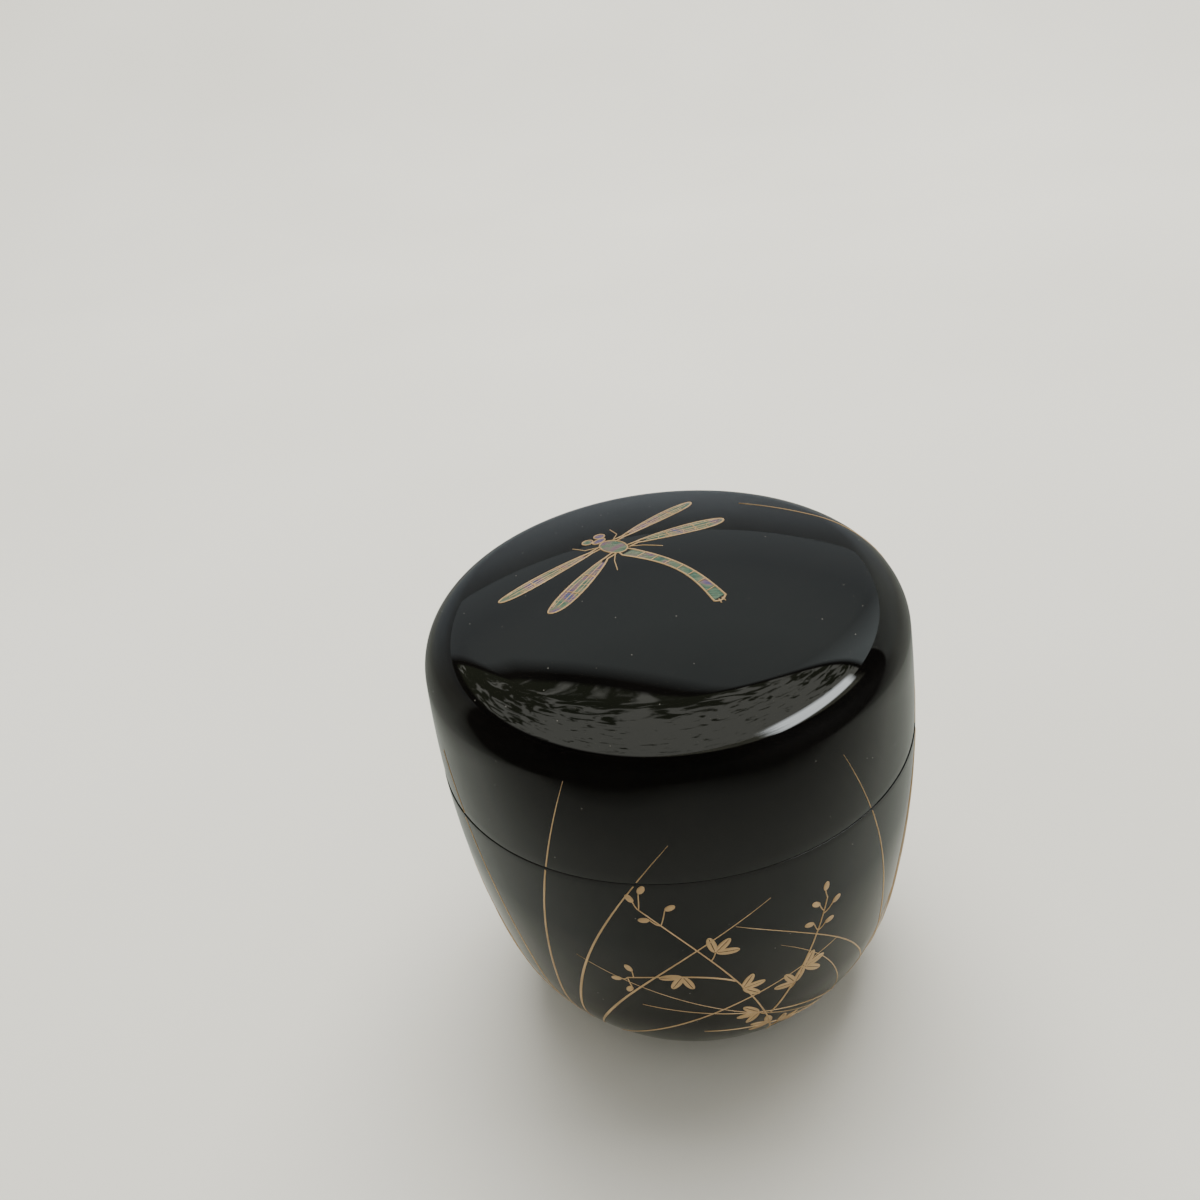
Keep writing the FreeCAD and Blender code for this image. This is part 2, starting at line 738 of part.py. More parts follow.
# A blade's root, bend and tip: the angle in degrees, and the length along the outline from
# the seam as a share of the seam's height. Blades of one clump fan out and don't cross.
LEFT_CLUMP_SHARES = [
    [(-46, -1.00), (-46, -0.30), (-28, 0.34)],
    [(-44, -1.00), (-38, -0.35), (-8, 0.14)],
    [(-42, -1.00), (-31, -0.48), (12, -0.12)],
    [(-40, -1.00), (-22, -0.66), (30, -0.44)],
    [(-38, -1.00), (-14, -0.84), (34, -0.76)],
    [(-48, -1.00), (-53, -0.32), (-70, 0.20)],
    [(-50, -1.00), (-60, -0.52), (-88, -0.14)],
    [(-52, -1.00), (-68, -0.74), (-104, -0.56)],
]
RIGHT_CLUMP_SHARES = [
    [(46, -1.00), (28, -0.88), (-14, -0.90)],
    [(48, -1.00), (32, -0.70), (-20, -0.56)],
    [(50, -1.00), (44, -0.46), (4, -0.20)],
    [(52, -1.00), (52, -0.32), (32, 0.26)],
    [(54, -1.00), (58, 0.45), (140, 0.68)],
    [(56, -1.00), (66, 0.30), (128, 0.46)],
    [(58, -1.00), (66, -0.30), (96, 0.06)],
    [(60, -1.00), (74, -0.62), (108, -0.36)],
]
BACK_CLUMP_SHARES = [
    [(168, -1.00), (158, -0.52), (124, -0.18)],
    [(170, -1.00), (166, -0.30), (146, 0.22)],
    [(176, -1.00), (184, -0.30), (206, 0.16)],
    [(178, -1.00), (196, -0.55), (232, -0.20)],
]
BACK_CROSSING_SHARES = [
    [(218, -1.00), (208, -0.48), (170, -0.34)],
    [(216, -1.00), (196, -0.76), (156, -0.68)],
    [(220, -1.00), (222, -0.35), (240, 0.10)],
]

SEAM_GAP = size("seam_round").value * 2
HALVING_COUNT = 30

# Lines that cross others lie in the next layer up. Each layer has an index.
UNDER_LAYER_INDEX = 0
OVER_LAYER_INDEX = 1
STEM_LAYER_INDEX = 2
LEAF_LAYER_INDEX = 3
BLOSSOM_LAYER_INDEX = 4


def round_place(knot):
    return skin.place(math.radians(knot[0]), knot[1] * SEAM.value)


def seam_share(knots, length):
    """Where along a blade its length from the seam reaches a value."""
    low, high = 0.0, 1.0
    for _ in range(HALVING_COUNT):
        middle = (low + high) / 2
        if bezier(knots, middle)[1] * SEAM.value < length:
            low = middle
        else:
            high = middle
    return low


def blade_part(knots, start, end, layer, width):
    """The stretch of a blade between two shares of its length."""
    shares = [start + (end - start) * step for step in SECTION_SHARES]
    places = [round_place(bezier(knots, share)) for share in shares]
    return raised_line(places, [width * blade_swell(share) for share in shares], layer)


def blades_on_body(clump, layer, width):
    lines = []
    for knots in clump:
        crosses = knots[-1][1] > 0
        end = seam_share(knots, -SEAM_GAP) if crosses else 1.0
        lines.append(blade_part(knots, 0.0, end, layer, width))
    return lines


def blades_on_lid(clump, width):
    return [blade_part(knots, seam_share(knots, SEAM_GAP), 1.0, UNDER_LAYER_INDEX, width)
            for knots in clump if knots[-1][1] > 0]


BLADE = size("blade_width").value
FINE_BLADE = size("fine_blade_width").value

body_gold_blades = feature("body_gold_blades",
                           blades_on_body(LEFT_CLUMP_SHARES, UNDER_LAYER_INDEX, BLADE)
                           + blades_on_body(BACK_CLUMP_SHARES, UNDER_LAYER_INDEX, BLADE))
body_gold_blades_over = feature("body_gold_blades_over",
                                blades_on_body(RIGHT_CLUMP_SHARES, OVER_LAYER_INDEX, FINE_BLADE)
                                + blades_on_body(BACK_CROSSING_SHARES, OVER_LAYER_INDEX, FINE_BLADE))
lid_gold_blades = feature("lid_gold_blades",
                          blades_on_lid(LEFT_CLUMP_SHARES, BLADE)
                          + blades_on_lid(RIGHT_CLUMP_SHARES, FINE_BLADE)
                          + blades_on_lid(BACK_CLUMP_SHARES, BLADE)
                          + blades_on_lid(BACK_CROSSING_SHARES, FINE_BLADE))


# A sprig of bush clover on the front: stems, leaves in threes, and small blossoms

STEM_SHARES = [
    [(14, -0.98), (13, -0.52), (-16, -0.10)],
    [(11.6, -0.69), (22, -0.48), (26, -0.22)],
    [(1.4, -0.45), (-6, -0.37), (-22, -0.42)],
]
# Where a group of three leaves springs from: the angle, the length share and the heading.
LEAF_GROUP_SHARES = [(15.5, -0.82, 60), (12.0, -0.78, -62), (20.5, -0.50, 75), (18.0, -0.56, -30),
               (4.5, -0.50, 80), (-1.0, -0.30, 40), (-9.0, -0.40, -150), (8.5, -0.66, -95)]
LEAF_LENGTH = HEIGHT.share("leaf_length_share")
LEAF_WIDTH = LEAF_LENGTH.share("leaf_width_share").value
BLOSSOM_LENGTH = LEAF_LENGTH.share("blossom_length_share").value
BLOSSOM_WIDTH = LEAF_LENGTH.share("blossom_width_share").value
LEAF_TURN_DEGREES = (-52, 0, 52)
LEAF_SECTION_COUNT = 6
BLOSSOM_SHARES = [(25.5, -0.19, 10), (24.0, -0.24, -50), (27.5, -0.26, 60), (-17.0, -0.07, -30),
            (-14.0, -0.14, -95), (-15.5, -0.035, 30), (-23.5, -0.43, -100), (-20.5, -0.385, -30),
            (-21.5, -0.465, -150), (-10.5, -0.10, 60), (22.5, -0.31, -70), (25.5, -0.33, 80)]


def spray_piece(angle, share, heading, length, width, layer, start=0.0):
    """A leaf or blossom: a short raised patch that heads a way, 0 being up the caddy."""
    point, _ = round_place((angle, share))
    reach = math.hypot(point.x, point.y)
    turn = math.radians(heading)
    places = []
    steps = even_shares(LEAF_SECTION_COUNT)
    for step in steps:
        run = start + length * step
        knot = (angle + math.degrees(run * math.sin(turn) / reach),
                share + run * math.cos(turn) / SEAM.value)
        places.append(round_place(knot))
    return raised_line(places, [width * leaf_swell(step) for step in steps], layer)


stems = [raised_line([round_place(bezier(knots, share)) for share in SECTION_SHARES],
                     [size("stem_width").value * (1 - share / 2) for share in SECTION_SHARES],
                     STEM_LAYER_INDEX)
         for knots in STEM_SHARES]
leaves = [spray_piece(angle, share, heading + turn, LEAF_LENGTH.value, LEAF_WIDTH, LEAF_LAYER_INDEX,
                      LEAF_WIDTH / 2)
          for angle, share, heading in LEAF_GROUP_SHARES for turn in LEAF_TURN_DEGREES]
blossoms = [spray_piece(angle, share, heading, BLOSSOM_LENGTH, BLOSSOM_WIDTH, BLOSSOM_LAYER_INDEX)
             for angle, share, heading in BLOSSOM_SHARES]

clover_stems = feature("clover_stems", stems)
clover_leaves = feature("clover_leaves", leaves)
clover_blossoms = feature("clover_blossoms", blossoms)


# A dragonfly on the lid: shell chips let into the lacquer, and gold lines round them.
# Its places are shares of its length: to its right, and forwards from behind the thorax.

DRAGONFLY_SPOT_SHARES = (-0.06, 0.06)
DRAGONFLY_HEADING_DEGREES = 35
DRAGONFLY_LENGTH = DIAMETER.share("dragonfly_share").value
FORE_WING_SHARES = {"root_shares": (0.10, 0.29), "length_share": 0.60, "width_share": 0.072,
                    "sweep_degrees": 8}
HIND_WING_SHARES = {"root_shares": (0.10, 0.17), "length_share": 0.54, "width_share": 0.092,
                    "sweep_degrees": -16}
LEADING_SHARE = 0.45
WING_ROOT_SHARE = 0.45
WING_SPLIT_SHARES = (0.10, 0.36, 0.66)
WING_OPENING_SHARE = 0.10
WING_VEIN_SHARE = -0.35
WING_VEIN_END_SHARE = 0.90
THORAX_SHARES = {"centre_shares": (0.0, 0.235), "half_width_share": 0.062, "half_length_share": 0.095}
HEAD_SHARES = {"centre_shares": (0.0, 0.375), "half_width_share": 0.038, "half_length_share": 0.026}
EYE_SHARES = {"centre_shares": (0.050, 0.420), "half_width_share": 0.024, "half_length_share": 0.024}
ABDOMEN_START_SHARE = 0.115
ABDOMEN_LENGTH_SHARE = 0.70
ABDOMEN_CURVE_SHARE = 0.06
ABDOMEN_WIDTH_SHARE = 0.034
ABDOMEN_WAIST_SHARE = 0.35
ABDOMEN_CHIP_COUNT = 8
THORAX_LINE_STARTS_SHARES = (0.07, 0.57)
THORAX_LINE_SHARE = 0.36
CHIP_SIDE_COUNT = 6
OVAL_COUNT = 13
WING_LINE_COUNT = 29
VEIN_COUNT = 5
SIDE_LINE_COUNT = 13
THORAX_LINE_COUNT = 9


def dragonfly_place(right, forwards):
    """A place on the lid's skin, given as shares of the dragonfly's length."""
    heading = math.radians(DRAGONFLY_HEADING_DEGREES)
    sine, cosine = math.sin(heading), math.cos(heading)
    across = DRAGONFLY_SPOT_SHARES[0] + right * cosine - forwards * sine
    back = DRAGONFLY_SPOT_SHARES[1] + right * sine + forwards * cosine
    return skin.top_place(across * DRAGONFLY_LENGTH, back * DRAGONFLY_LENGTH)


def wing_reach(wing, along, edge):
    """How far a wing reaches from its middle line on one edge, as a share of the dragonfly."""
    swell = math.sqrt(max(0.0, 1 - (2 * along - 1) ** 2)) * (WING_ROOT_SHARE + (1 - WING_ROOT_SHARE) * along)
    return swell * wing["width_share"] * (LEADING_SHARE if edge > 0 else 1.0)


def wing_place(wing, side, along, edge):
    """A place in a wing: along from root to tip, edge from 1 leading to -1 trailing."""
    aside = edge * wing_reach(wing, along, edge)
    sweep = math.radians(wing["sweep_degrees"])
    out = along * wing["length_share"] * math.cos(sweep) - aside * math.sin(sweep)
    forwards = along * wing["length_share"] * math.sin(sweep) + aside * math.cos(sweep)
    return dragonfly_place(side * (wing["root_shares"][0] + out), wing["root_shares"][1] + forwards)


def flat(place):
    """The place's spot on the ground plane, where prisms start."""
    return Vector(place[0].x, place[0].y, 0)


def prism(corners):
    """An upright prism with straight sides, which passes through the lacquer of the dome."""
    low = sheet_edge(LACQUER)[1]
    outline = Part.Face(Part.makePolygon(corners + corners[:1]))
    outline.translate(Vector(0, 0, low))
    return outline.extrude(Vector(0, 0, HEIGHT.value + size("overrun").value - low))


def wing_prisms(wing, side):
    """Three chips for a wing, with a gap between them for a vein."""
    gap = size("chip_gap").value / DRAGONFLY_LENGTH / wing["length_share"]
    cuts = list(WING_SPLIT_SHARES) + [1.0]
    prisms = []
    for start, end in zip(cuts, cuts[1:]):
        stop = 1.0 if end == 1.0 else end - gap
        shares = [start + (stop - start) * math.sin(math.pi / 2 * step)
                  for step in even_shares(CHIP_SIDE_COUNT)]
        leading = [flat(wing_place(wing, side, share, 1)) for share in shares]
        trailing = [flat(wing_place(wing, side, share, -1)) for share in shares]
        if end == 1.0:
            leading.pop()
        prisms.append(prism(leading + trailing[::-1]))
    return prisms


def oval_places(shares, start=0.0, end=1.0, count=OVAL_COUNT):
    places = []
    for step in even_shares(count):
        turn = 2 * math.pi * (start + (end - start) * step)
        right = shares["centre_shares"][0] + shares["half_width_share"] * math.sin(turn)
        forwards = shares["centre_shares"][1] + shares["half_length_share"] * math.cos(turn)
        places.append(dragonfly_place(right, forwards))
    return places


def oval_prism(shares):
    return prism([flat(place) for place in oval_places(shares)[:-1]])


def abdomen_place(along, edge):
    """A place on the abdomen: along from its root to its tip, edge from -1 to 1 across it."""
    half_width = ABDOMEN_WIDTH_SHARE * (1 - ABDOMEN_WAIST_SHARE * math.sin(math.pi * along))
    bend = ABDOMEN_CURVE_SHARE * math.sin(math.pi * along)
    return dragonfly_place(bend + edge * half_width, ABDOMEN_START_SHARE - along * ABDOMEN_LENGTH_SHARE)


def abdomen_prisms():
    gap = size("chip_gap").value / DRAGONFLY_LENGTH / ABDOMEN_LENGTH_SHARE
    prisms = []
    for number in range(ABDOMEN_CHIP_COUNT):
        start = number / ABDOMEN_CHIP_COUNT
        end = (number + 1) / ABDOMEN_CHIP_COUNT - gap
        corners = [(start, -1), (start, 1), (end, 1), (end, -1)]
        prisms.append(prism([flat(abdomen_place(*corner)) for corner in corners]))
    return prisms


def eye_prism(side):
    across, forwards = EYE_SHARES["centre_shares"]
    return oval_prism(dict(EYE_SHARES, centre_shares=(side * across, forwards)))


def wing_outline(wing, side):
    """A gold line all round a wing, open at its root."""
    turns = [math.pi * (WING_OPENING_SHARE + (2 - 2 * WING_OPENING_SHARE) * step)
             for step in even_shares(WING_LINE_COUNT)]
    places = [wing_place(wing, side, (1 - math.cos(turn)) / 2, 1 if turn < math.pi else -1)
              for turn in turns]
    return raised_line(places, [size("outline_width").value] * len(places))


def wing_veins(wing, side):
    """Gold lines between a wing's chips, and one along each chip, clear of the outline."""
    width = size("vein_width").value
    clear = (size("outline_width").value / 2 + width / 2) / DRAGONFLY_LENGTH
    half_gap = size("chip_gap").value / DRAGONFLY_LENGTH / wing["length_share"] / 2
    lines = []
    for share in WING_SPLIT_SHARES[1:]:
        along = share - half_gap
        leading = 1 - clear / wing_reach(wing, along, 1)
        trailing = 1 - clear / wing_reach(wing, along, -1)
        edges = [leading - (leading + trailing) * step for step in even_shares(VEIN_COUNT)]
        places = [wing_place(wing, side, along, edge) for edge in edges]
        lines.append(raised_line(places, [width] * len(places)))
    cuts = list(WING_SPLIT_SHARES) + [WING_VEIN_END_SHARE]
    for start, end in zip(cuts, cuts[1:]):
        first, last = start + 2 * half_gap, end - 3 * half_gap
        places = [wing_place(wing, side, first + (last - first) * step, WING_VEIN_SHARE)
                  for step in even_shares(VEIN_COUNT)]
        lines.append(raised_line(places, [width] * len(places)))
    return lines


def body_outlines():
    """Gold lines along both sides of the abdomen and round the thorax."""
    width = size("outline_width").value
    clear = 1 + width / DRAGONFLY_LENGTH / ABDOMEN_WIDTH_SHARE / 2
    sides = [[abdomen_place(step, side * clear) for step in even_shares(SIDE_LINE_COUNT)]
             for side in (-1, 1)]
    arcs = [oval_places(THORAX_SHARES, start, start + THORAX_LINE_SHARE, THORAX_LINE_COUNT)
            for start in THORAX_LINE_STARTS_SHARES]
    return [raised_line(places, [width] * len(places)) for places in sides + arcs]


WINGS = [(wing, side) for wing in (FORE_WING_SHARES, HIND_WING_SHARES) for side in (-1, 1)]
dragonfly_outlines = feature("dragonfly_outlines",
                             [wing_outline(wing, side) for wing, side in WINGS] + body_outlines())
dragonfly_veins = feature("dragonfly_veins",
                          [line for wing, side in WINGS for line in wing_veins(wing, side)])

CHIPS = {
    "left_fore_wing_shell": wing_prisms(FORE_WING_SHARES, -1),
    "right_fore_wing_shell": wing_prisms(FORE_WING_SHARES, 1),
    "left_hind_wing_shell": wing_prisms(HIND_WING_SHARES, -1),
    "right_hind_wing_shell": wing_prisms(HIND_WING_SHARES, 1),
    "abdomen_shell": abdomen_prisms(),
    "thorax_shell": [oval_prism(THORAX_SHARES)],
    "head_shell": [oval_prism(HEAD_SHARES)],
    "eye_shell": [eye_prism(-1), eye_prism(1)],
}

# A sheet of the lacquer's top, which the chips are cut from and let into.
every_prism = feature("shell_seats", [solid for prisms in CHIPS.values() for solid in prisms])
lid_outer_lacquer = doc.addObject("Part::Cut", "lid_outer_lacquer")
lid_outer_lacquer.Base = lid_lacquer_blank
lid_outer_lacquer.Tool = every_prism
shell_chips = []
for label, prisms in CHIPS.items():
    outline = feature(f"{label}_outline", prisms)
    chip = doc.addObject("Part::Common", label)
    chip.Base = shell_sheet
    chip.Tool = outline
    shell_chips.append(chip)
doc.recompute([lid_outer_lacquer] + shell_chips)


# Checks, and one file for each sub-part

SUB_PARTS = [
    body_wood_core, body_mouth_cloth, body_base_cloth, body_ground_coat, body_outer_lacquer,
    body_inner_lacquer, body_gold_blades, body_gold_blades_over, clover_stems, clover_leaves,
    clover_blossoms, lid_wood_core, lid_mouth_cloth, lid_ground_coat, lid_outer_lacquer,
    lid_inner_lacquer, lid_gold_blades, dragonfly_outlines, dragonfly_veins, *shell_chips,
]

for item in doc.Objects:
    if "Invalid" in item.State or "Error" in item.State:
        raise RuntimeError(f"{item.Name} failed: {item.State}")
for part in SUB_PARTS:
    if part.Shape.isNull() or not part.Shape.isValid():
        raise RuntimeError(f"{part.Label} has no valid shape")

os.makedirs("parts", exist_ok=True)
for part in SUB_PARTS:
    part.Shape.exportStep(f"parts/{part.Label}.step")
    print(f"{part.Label}: {len(part.Shape.Solids)} solids, {part.Shape.Volume:.2f} cubic mm")
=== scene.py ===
# %% [markdown]
# # A lacquered tea caddy, dressed in Blender
#
# The caddy is a turned wood cup and lid under many coats of black lacquer. Gold lines lie on
# the lacquer, and a dragonfly of shell and gold sits on the lid. The frame below is the packed
# construction model: every wood core, cloth and ground coat comes from it, in metres, with the
# foot's middle at the origin. This script gives each of them a finish and models the visible
# skins, lines and shell afresh, because a mirror-like surface needs even, smooth faces.

import math

import bpy
from mathutils import Matrix, Vector


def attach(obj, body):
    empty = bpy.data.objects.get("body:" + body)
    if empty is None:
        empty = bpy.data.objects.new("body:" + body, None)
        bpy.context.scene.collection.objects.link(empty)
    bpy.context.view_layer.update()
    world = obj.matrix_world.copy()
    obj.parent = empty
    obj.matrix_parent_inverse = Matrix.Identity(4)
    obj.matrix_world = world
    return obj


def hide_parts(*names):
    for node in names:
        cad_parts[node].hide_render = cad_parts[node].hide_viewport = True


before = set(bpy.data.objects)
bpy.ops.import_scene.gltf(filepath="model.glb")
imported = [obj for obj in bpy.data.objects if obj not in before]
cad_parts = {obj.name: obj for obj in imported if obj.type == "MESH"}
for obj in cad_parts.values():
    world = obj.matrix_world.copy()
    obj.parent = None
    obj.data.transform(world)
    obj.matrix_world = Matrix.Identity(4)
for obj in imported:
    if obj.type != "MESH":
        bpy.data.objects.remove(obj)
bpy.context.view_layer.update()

# %% [markdown]
# ## The camera
#
# The photograph looks down on the caddy from the front and slightly to its left, with the
# picture tilted about nine degrees. The camera stands where the foot, the seam and the lid's
# outline of the frame fall on their places in the picture.

# %% Camera
CAMERA_PLACE = Vector((-0.007792, -0.131483, 0.141818))
CAMERA_RIGHT = Vector((0.98760, -0.08034, -0.13487))
CAMERA_UP = Vector((0.15699, 0.50543, 0.84847))
SENSOR_WIDTH = 36.0
LENS_LENGTH = 34.65
NEAREST_SEEN = 0.005

camera_data = bpy.data.cameras.new("camera")
camera_data.sensor_width = SENSOR_WIDTH
camera_data.lens = LENS_LENGTH
camera_data.clip_start = NEAREST_SEEN
camera = bpy.data.objects.new("camera", camera_data)
bpy.context.scene.collection.objects.link(camera)
turn = Matrix((CAMERA_RIGHT, CAMERA_UP, CAMERA_RIGHT.cross(CAMERA_UP))).transposed()
camera.matrix_world = Matrix.Translation(CAMERA_PLACE) @ turn.to_4x4()
bpy.context.scene.camera = camera
print("camera lens:", camera_data.lens, "mm")

# %% [markdown]
# ## The turned outline
#
# The caddy was turned on a lathe, so one outline describes it: a flat dome, a tight shoulder,
# sides with hardly any curve and a belly that runs in to the foot. It could be drawn freehand,
# but arcs that meet smoothly keep the reflections calm, so the outline is worked out as arcs,
# in millimetres from the axis and up from the table.

# %% Sizes of the turned form
MM = 0.001
HEIGHT = 68.0
SEAM = 43.0
WIDEST = 44.5
BODY_RADIUS = 33.0
LID_RADIUS = 32.92
DOME_RADIUS = 112.0
SHOULDER_RADIUS = 8.0
LID_SIDE_RADIUS = 180.0
BODY_SIDE_RADIUS = 150.0
BELLY_RADIUS = 30.2
BELLY_LEVEL = 22.6
BORE = 31.3
COLLAR_OUTSIDE = 31.15
COLLAR_TOP = 49.0
COAT = 0.25
LINING = 0.2
RECESS_RADIUS = 18.0
RECESS = 0.5
FLOOR = 3.6
DOME_CENTRE = (0.0, HEIGHT - DOME_RADIUS)
LID_SIDE_CENTRE = (LID_RADIUS - LID_SIDE_RADIUS, WIDEST)
BODY_SIDE_CENTRE = (BODY_RADIUS - BODY_SIDE_RADIUS, WIDEST)

# %% Arcs of the outline


def spread(start, end, count):
    """Evenly spaced values from start to end, both included."""
    return [start + (end - start) * step / (count - 1) for step in range(count)]


def arc_points(centre, radius, start, end, steps):
    """Points along an arc between two angles in degrees, both ends included."""
    angles = [math.radians(angle) for angle in spread(start, end, steps + 1)]
    return [(centre[0] + radius * math.cos(angle), centre[1] + radius * math.sin(angle)) for angle in angles]


def angle_at(centre, point):
    """The angle of a point seen from an arc's centre, in degrees."""
    return math.degrees(math.atan2(point[1] - centre[1], point[0] - centre[0]))


def touching_centre(first, first_radius, second, second_radius, radius):
    """The centre of a small arc that rounds the outer corner between two large ones."""
    reach_a = first_radius - radius
    reach_b = second_radius - radius
    apart = math.dist(first, second)
    along = (apart ** 2 + reach_a ** 2 - reach_b ** 2) / (2 * apart)
    aside = math.sqrt(reach_a ** 2 - along ** 2)
    step = ((second[0] - first[0]) / apart, (second[1] - first[1]) / apart)
    middle = (first[0] + step[0] * along, first[1] + step[1] * along)
    return max((middle[0] + step[1] * aside, middle[1] - step[0] * aside),
               (middle[0] - step[1] * aside, middle[1] + step[0] * aside))


SHOULDER_CENTRE = touching_centre(DOME_CENTRE, DOME_RADIUS, LID_SIDE_CENTRE, LID_SIDE_RADIUS,
                                  SHOULDER_RADIUS)
DOME_EDGE = angle_at(DOME_CENTRE, SHOULDER_CENTRE)
SIDE_TOP = angle_at(LID_SIDE_CENTRE, SHOULDER_CENTRE)
BELLY_REACH = (math.sqrt((BODY_SIDE_RADIUS - BELLY_RADIUS) ** 2 - (WIDEST - BELLY_LEVEL) ** 2)
               + BODY_SIDE_CENTRE[0])
BELLY_CENTRE = (BELLY_REACH, BELLY_LEVEL)
SIDE_FOOT = angle_at(BODY_SIDE_CENTRE, BELLY_CENTRE)
print("shoulder centre:", [round(value, 2) for value in SHOULDER_CENTRE])
print("belly centre:", [round(value, 2) for value in BELLY_CENTRE])

# %% [markdown]
# ## The floor
#
# The caddy stands on a plain pale surface that fills the picture. A flat plane would show a
# horizon, so the floor is a wide round dish: flat in the middle, with a rim that curves up on
# every side, and it looks the same all round. The helpers below serve this finish and all the
# later ones.

# %% Helpers for finishes


def start_finish(name):
    """A new material, with its node tree and its main shader."""
    finish = bpy.data.materials.new(name)
    finish.use_nodes = True
    return finish, finish.node_tree, finish.node_tree.nodes["Principled BSDF"]


def fill_sockets(tree, node, values):
    """Fill a node's sockets, each from another socket or with a plain value."""
    for name, value in values.items():
        if isinstance(value, bpy.types.NodeSocket):
            tree.links.new(value, node.inputs[name])
        else:
            node.inputs[name].default_value = value


def add_node(tree, kind, sockets=None, **fields):
    """A node with its fields set and its sockets filled."""
    node = tree.nodes.new(kind)
    for field, value in fields.items():
        setattr(node, field, value)
    fill_sockets(tree, node, sockets or {})
    return node


def add_ramp(tree, source, stops):
    """A colour ramp fed by a socket. Stops are pairs of a place and a colour."""
    ramp = add_node(tree, "ShaderNodeValToRGB", {"Fac": source})
    while len(ramp.color_ramp.elements) < len(stops):
        ramp.color_ramp.elements.new(0.5)
    for element, (place, colour) in zip(ramp.color_ramp.elements, stops):
        element.position = place
        element.color = (*colour, 1.0)
    return ramp.outputs["Color"]


def add_noise(tree, coordinates, scale, detail=3.0, roughness=0.5, distortion=0.0):
    """Cloudy noise at the given coordinates, as a value round one half."""
    noise = add_node(tree, "ShaderNodeTexNoise", {"Vector": coordinates, "Scale": scale, "Detail": detail,
                                                  "Roughness": roughness, "Distortion": distortion})
    return noise.outputs["Fac"]


def add_range(tree, source, low, high, from_low=0.0, from_high=1.0):
    """A value carried from one range to another."""
    shift = add_node(tree, "ShaderNodeMapRange", {"Value": source, "From Min": from_low,
                                                  "From Max": from_high, "To Min": low, "To Max": high})
    return shift.outputs["Result"]


def add_rise(tree, source, low, high):
    """A value that goes from 0 to 1 while its source goes from low to high."""
    return add_range(tree, source, 0.0, 1.0, low, high)


def add_fall(tree, source, low, high):
    """A value that goes from 1 to 0 while its source goes from low to high."""
    return add_range(tree, source, 1.0, 0.0, low, high)


def add_math(tree, operation, *values):
    """A sum, product or the like of sockets and plain numbers."""
    return add_node(tree, "ShaderNodeMath", dict(enumerate(values)), operation=operation).outputs["Value"]


def add_mix(tree, factor, low, high, kind="RGBA", blend="MIX"):
    """Two colours or values mixed by a factor. Each is a socket or plain."""
    node = add_node(tree, "ShaderNodeMix", {"Factor": factor, "A": low, "B": high},
                    data_type=kind, blend_type=blend)
    return node.outputs["Result"]


def add_split(tree, vector):
    """The three parts of a vector."""
    node = add_node(tree, "ShaderNodeSeparateXYZ", {"Vector": vector})
    return node.outputs["X"], node.outputs["Y"], node.outputs["Z"]


def add_stretch(tree, vector, scale, rotation=(0.0, 0.0, 0.0), location=(0.0, 0.0, 0.0)):
    """A vector stretched, turned and moved, for a pattern that runs one way."""
    node = add_node(tree, "ShaderNodeMapping", {"Vector": vector, "Scale": scale,
                                                "Rotation": rotation, "Location": location})
    return node.outputs["Vector"]


def add_bump(tree, source, distance, strength=1.0):
    """A normal bent by a value, for a shader's own normal socket."""
    bump = add_node(tree, "ShaderNodeBump", {"Height": source, "Distance": distance, "Strength": strength})
    return bump.outputs["Normal"]


def object_place(tree):
    """The object's own coordinates, in metres."""
    return add_node(tree, "ShaderNodeTexCoord").outputs["Object"]


# %% Helpers for pieces


def dress(piece, finish):
    """Give a piece one finish in place of whatever it has."""
    piece.data.materials.clear()
    piece.data.materials.append(finish)


def deselect_all():
    """Leave nothing selected, so that the next operator acts on its own piece alone."""
    bpy.ops.object.select_all(action="DESELECT")


# %% Floor finish
FLOOR_TONES = [(0.3, (0.79, 0.778, 0.725)), (0.7, (0.845, 0.835, 0.785))]

floor_finish, tree, shader = start_finish("pale floor")
place = object_place(tree)
clouds = add_noise(tree, place, 6.0, detail=2.0)
pale = add_ramp(tree, clouds, FLOOR_TONES)
fill_sockets(tree, shader, {"Roughness": 0.85, "Specular IOR Level": 0.2})
print("floor finish:", floor_finish.name)

# %% [markdown]
# ## The floor in the gloss
#
# The floor's colour for mirrored rays alone is a painted reflection. The lacquer mirrors a duller
# floor than the lens sees, because the lens takes bright cloth to nearly white while the dark gloss
# keeps its deep tone. Past the near edge, where whoever holds the lens stands, it mirrors only a
# painted darkness that stands for the shade there, and towards the far rim the painted tone turns
# bluer. Real things round the floor would show in the picture, so the tones are laid out by place
# instead and switched on for mirrored rays alone.

# %% Edge between the lit floor and the painted darkness in the gloss
EDGE_BEND = 0.05
EDGE_SPREAD = 0.85
EDGE_LEVEL = -0.124
NEAR_EDGE = EDGE_LEVEL - EDGE_SPREAD * EDGE_BEND
FAR_EDGE = -0.06
FAR_SPREAD = 0.26

across, back, high = add_split(tree, place)
across_squared = add_math(tree, "MULTIPLY", across, across)
bow = add_math(tree, "SQRT", add_math(tree, "ADD", across_squared, EDGE_BEND ** 2))
near_line = add_math(tree, "SUBTRACT", add_math(tree, "MULTIPLY_ADD", bow, -EDGE_SPREAD, back), NEAR_EDGE)
far_side = add_math(tree, "MULTIPLY", add_math(tree, "ABSOLUTE", across), -FAR_SPREAD)
far_line = add_math(tree, "SUBTRACT", add_math(tree, "ADD", back, far_side), FAR_EDGE)
past_edge = add_math(tree, "MAXIMUM", near_line, far_line)
from_foot = add_math(tree, "SQRT", add_math(tree, "MULTIPLY_ADD", back, back, across_squared))
away = add_math(tree, "MULTIPLY_ADD", back, 0.3, from_foot)
# Painted shade: the mirrored floor goes dark past the near edge and half dark far from the foot
fading = add_range(tree, away, 1.0, 0.5, 0.105, 0.125)
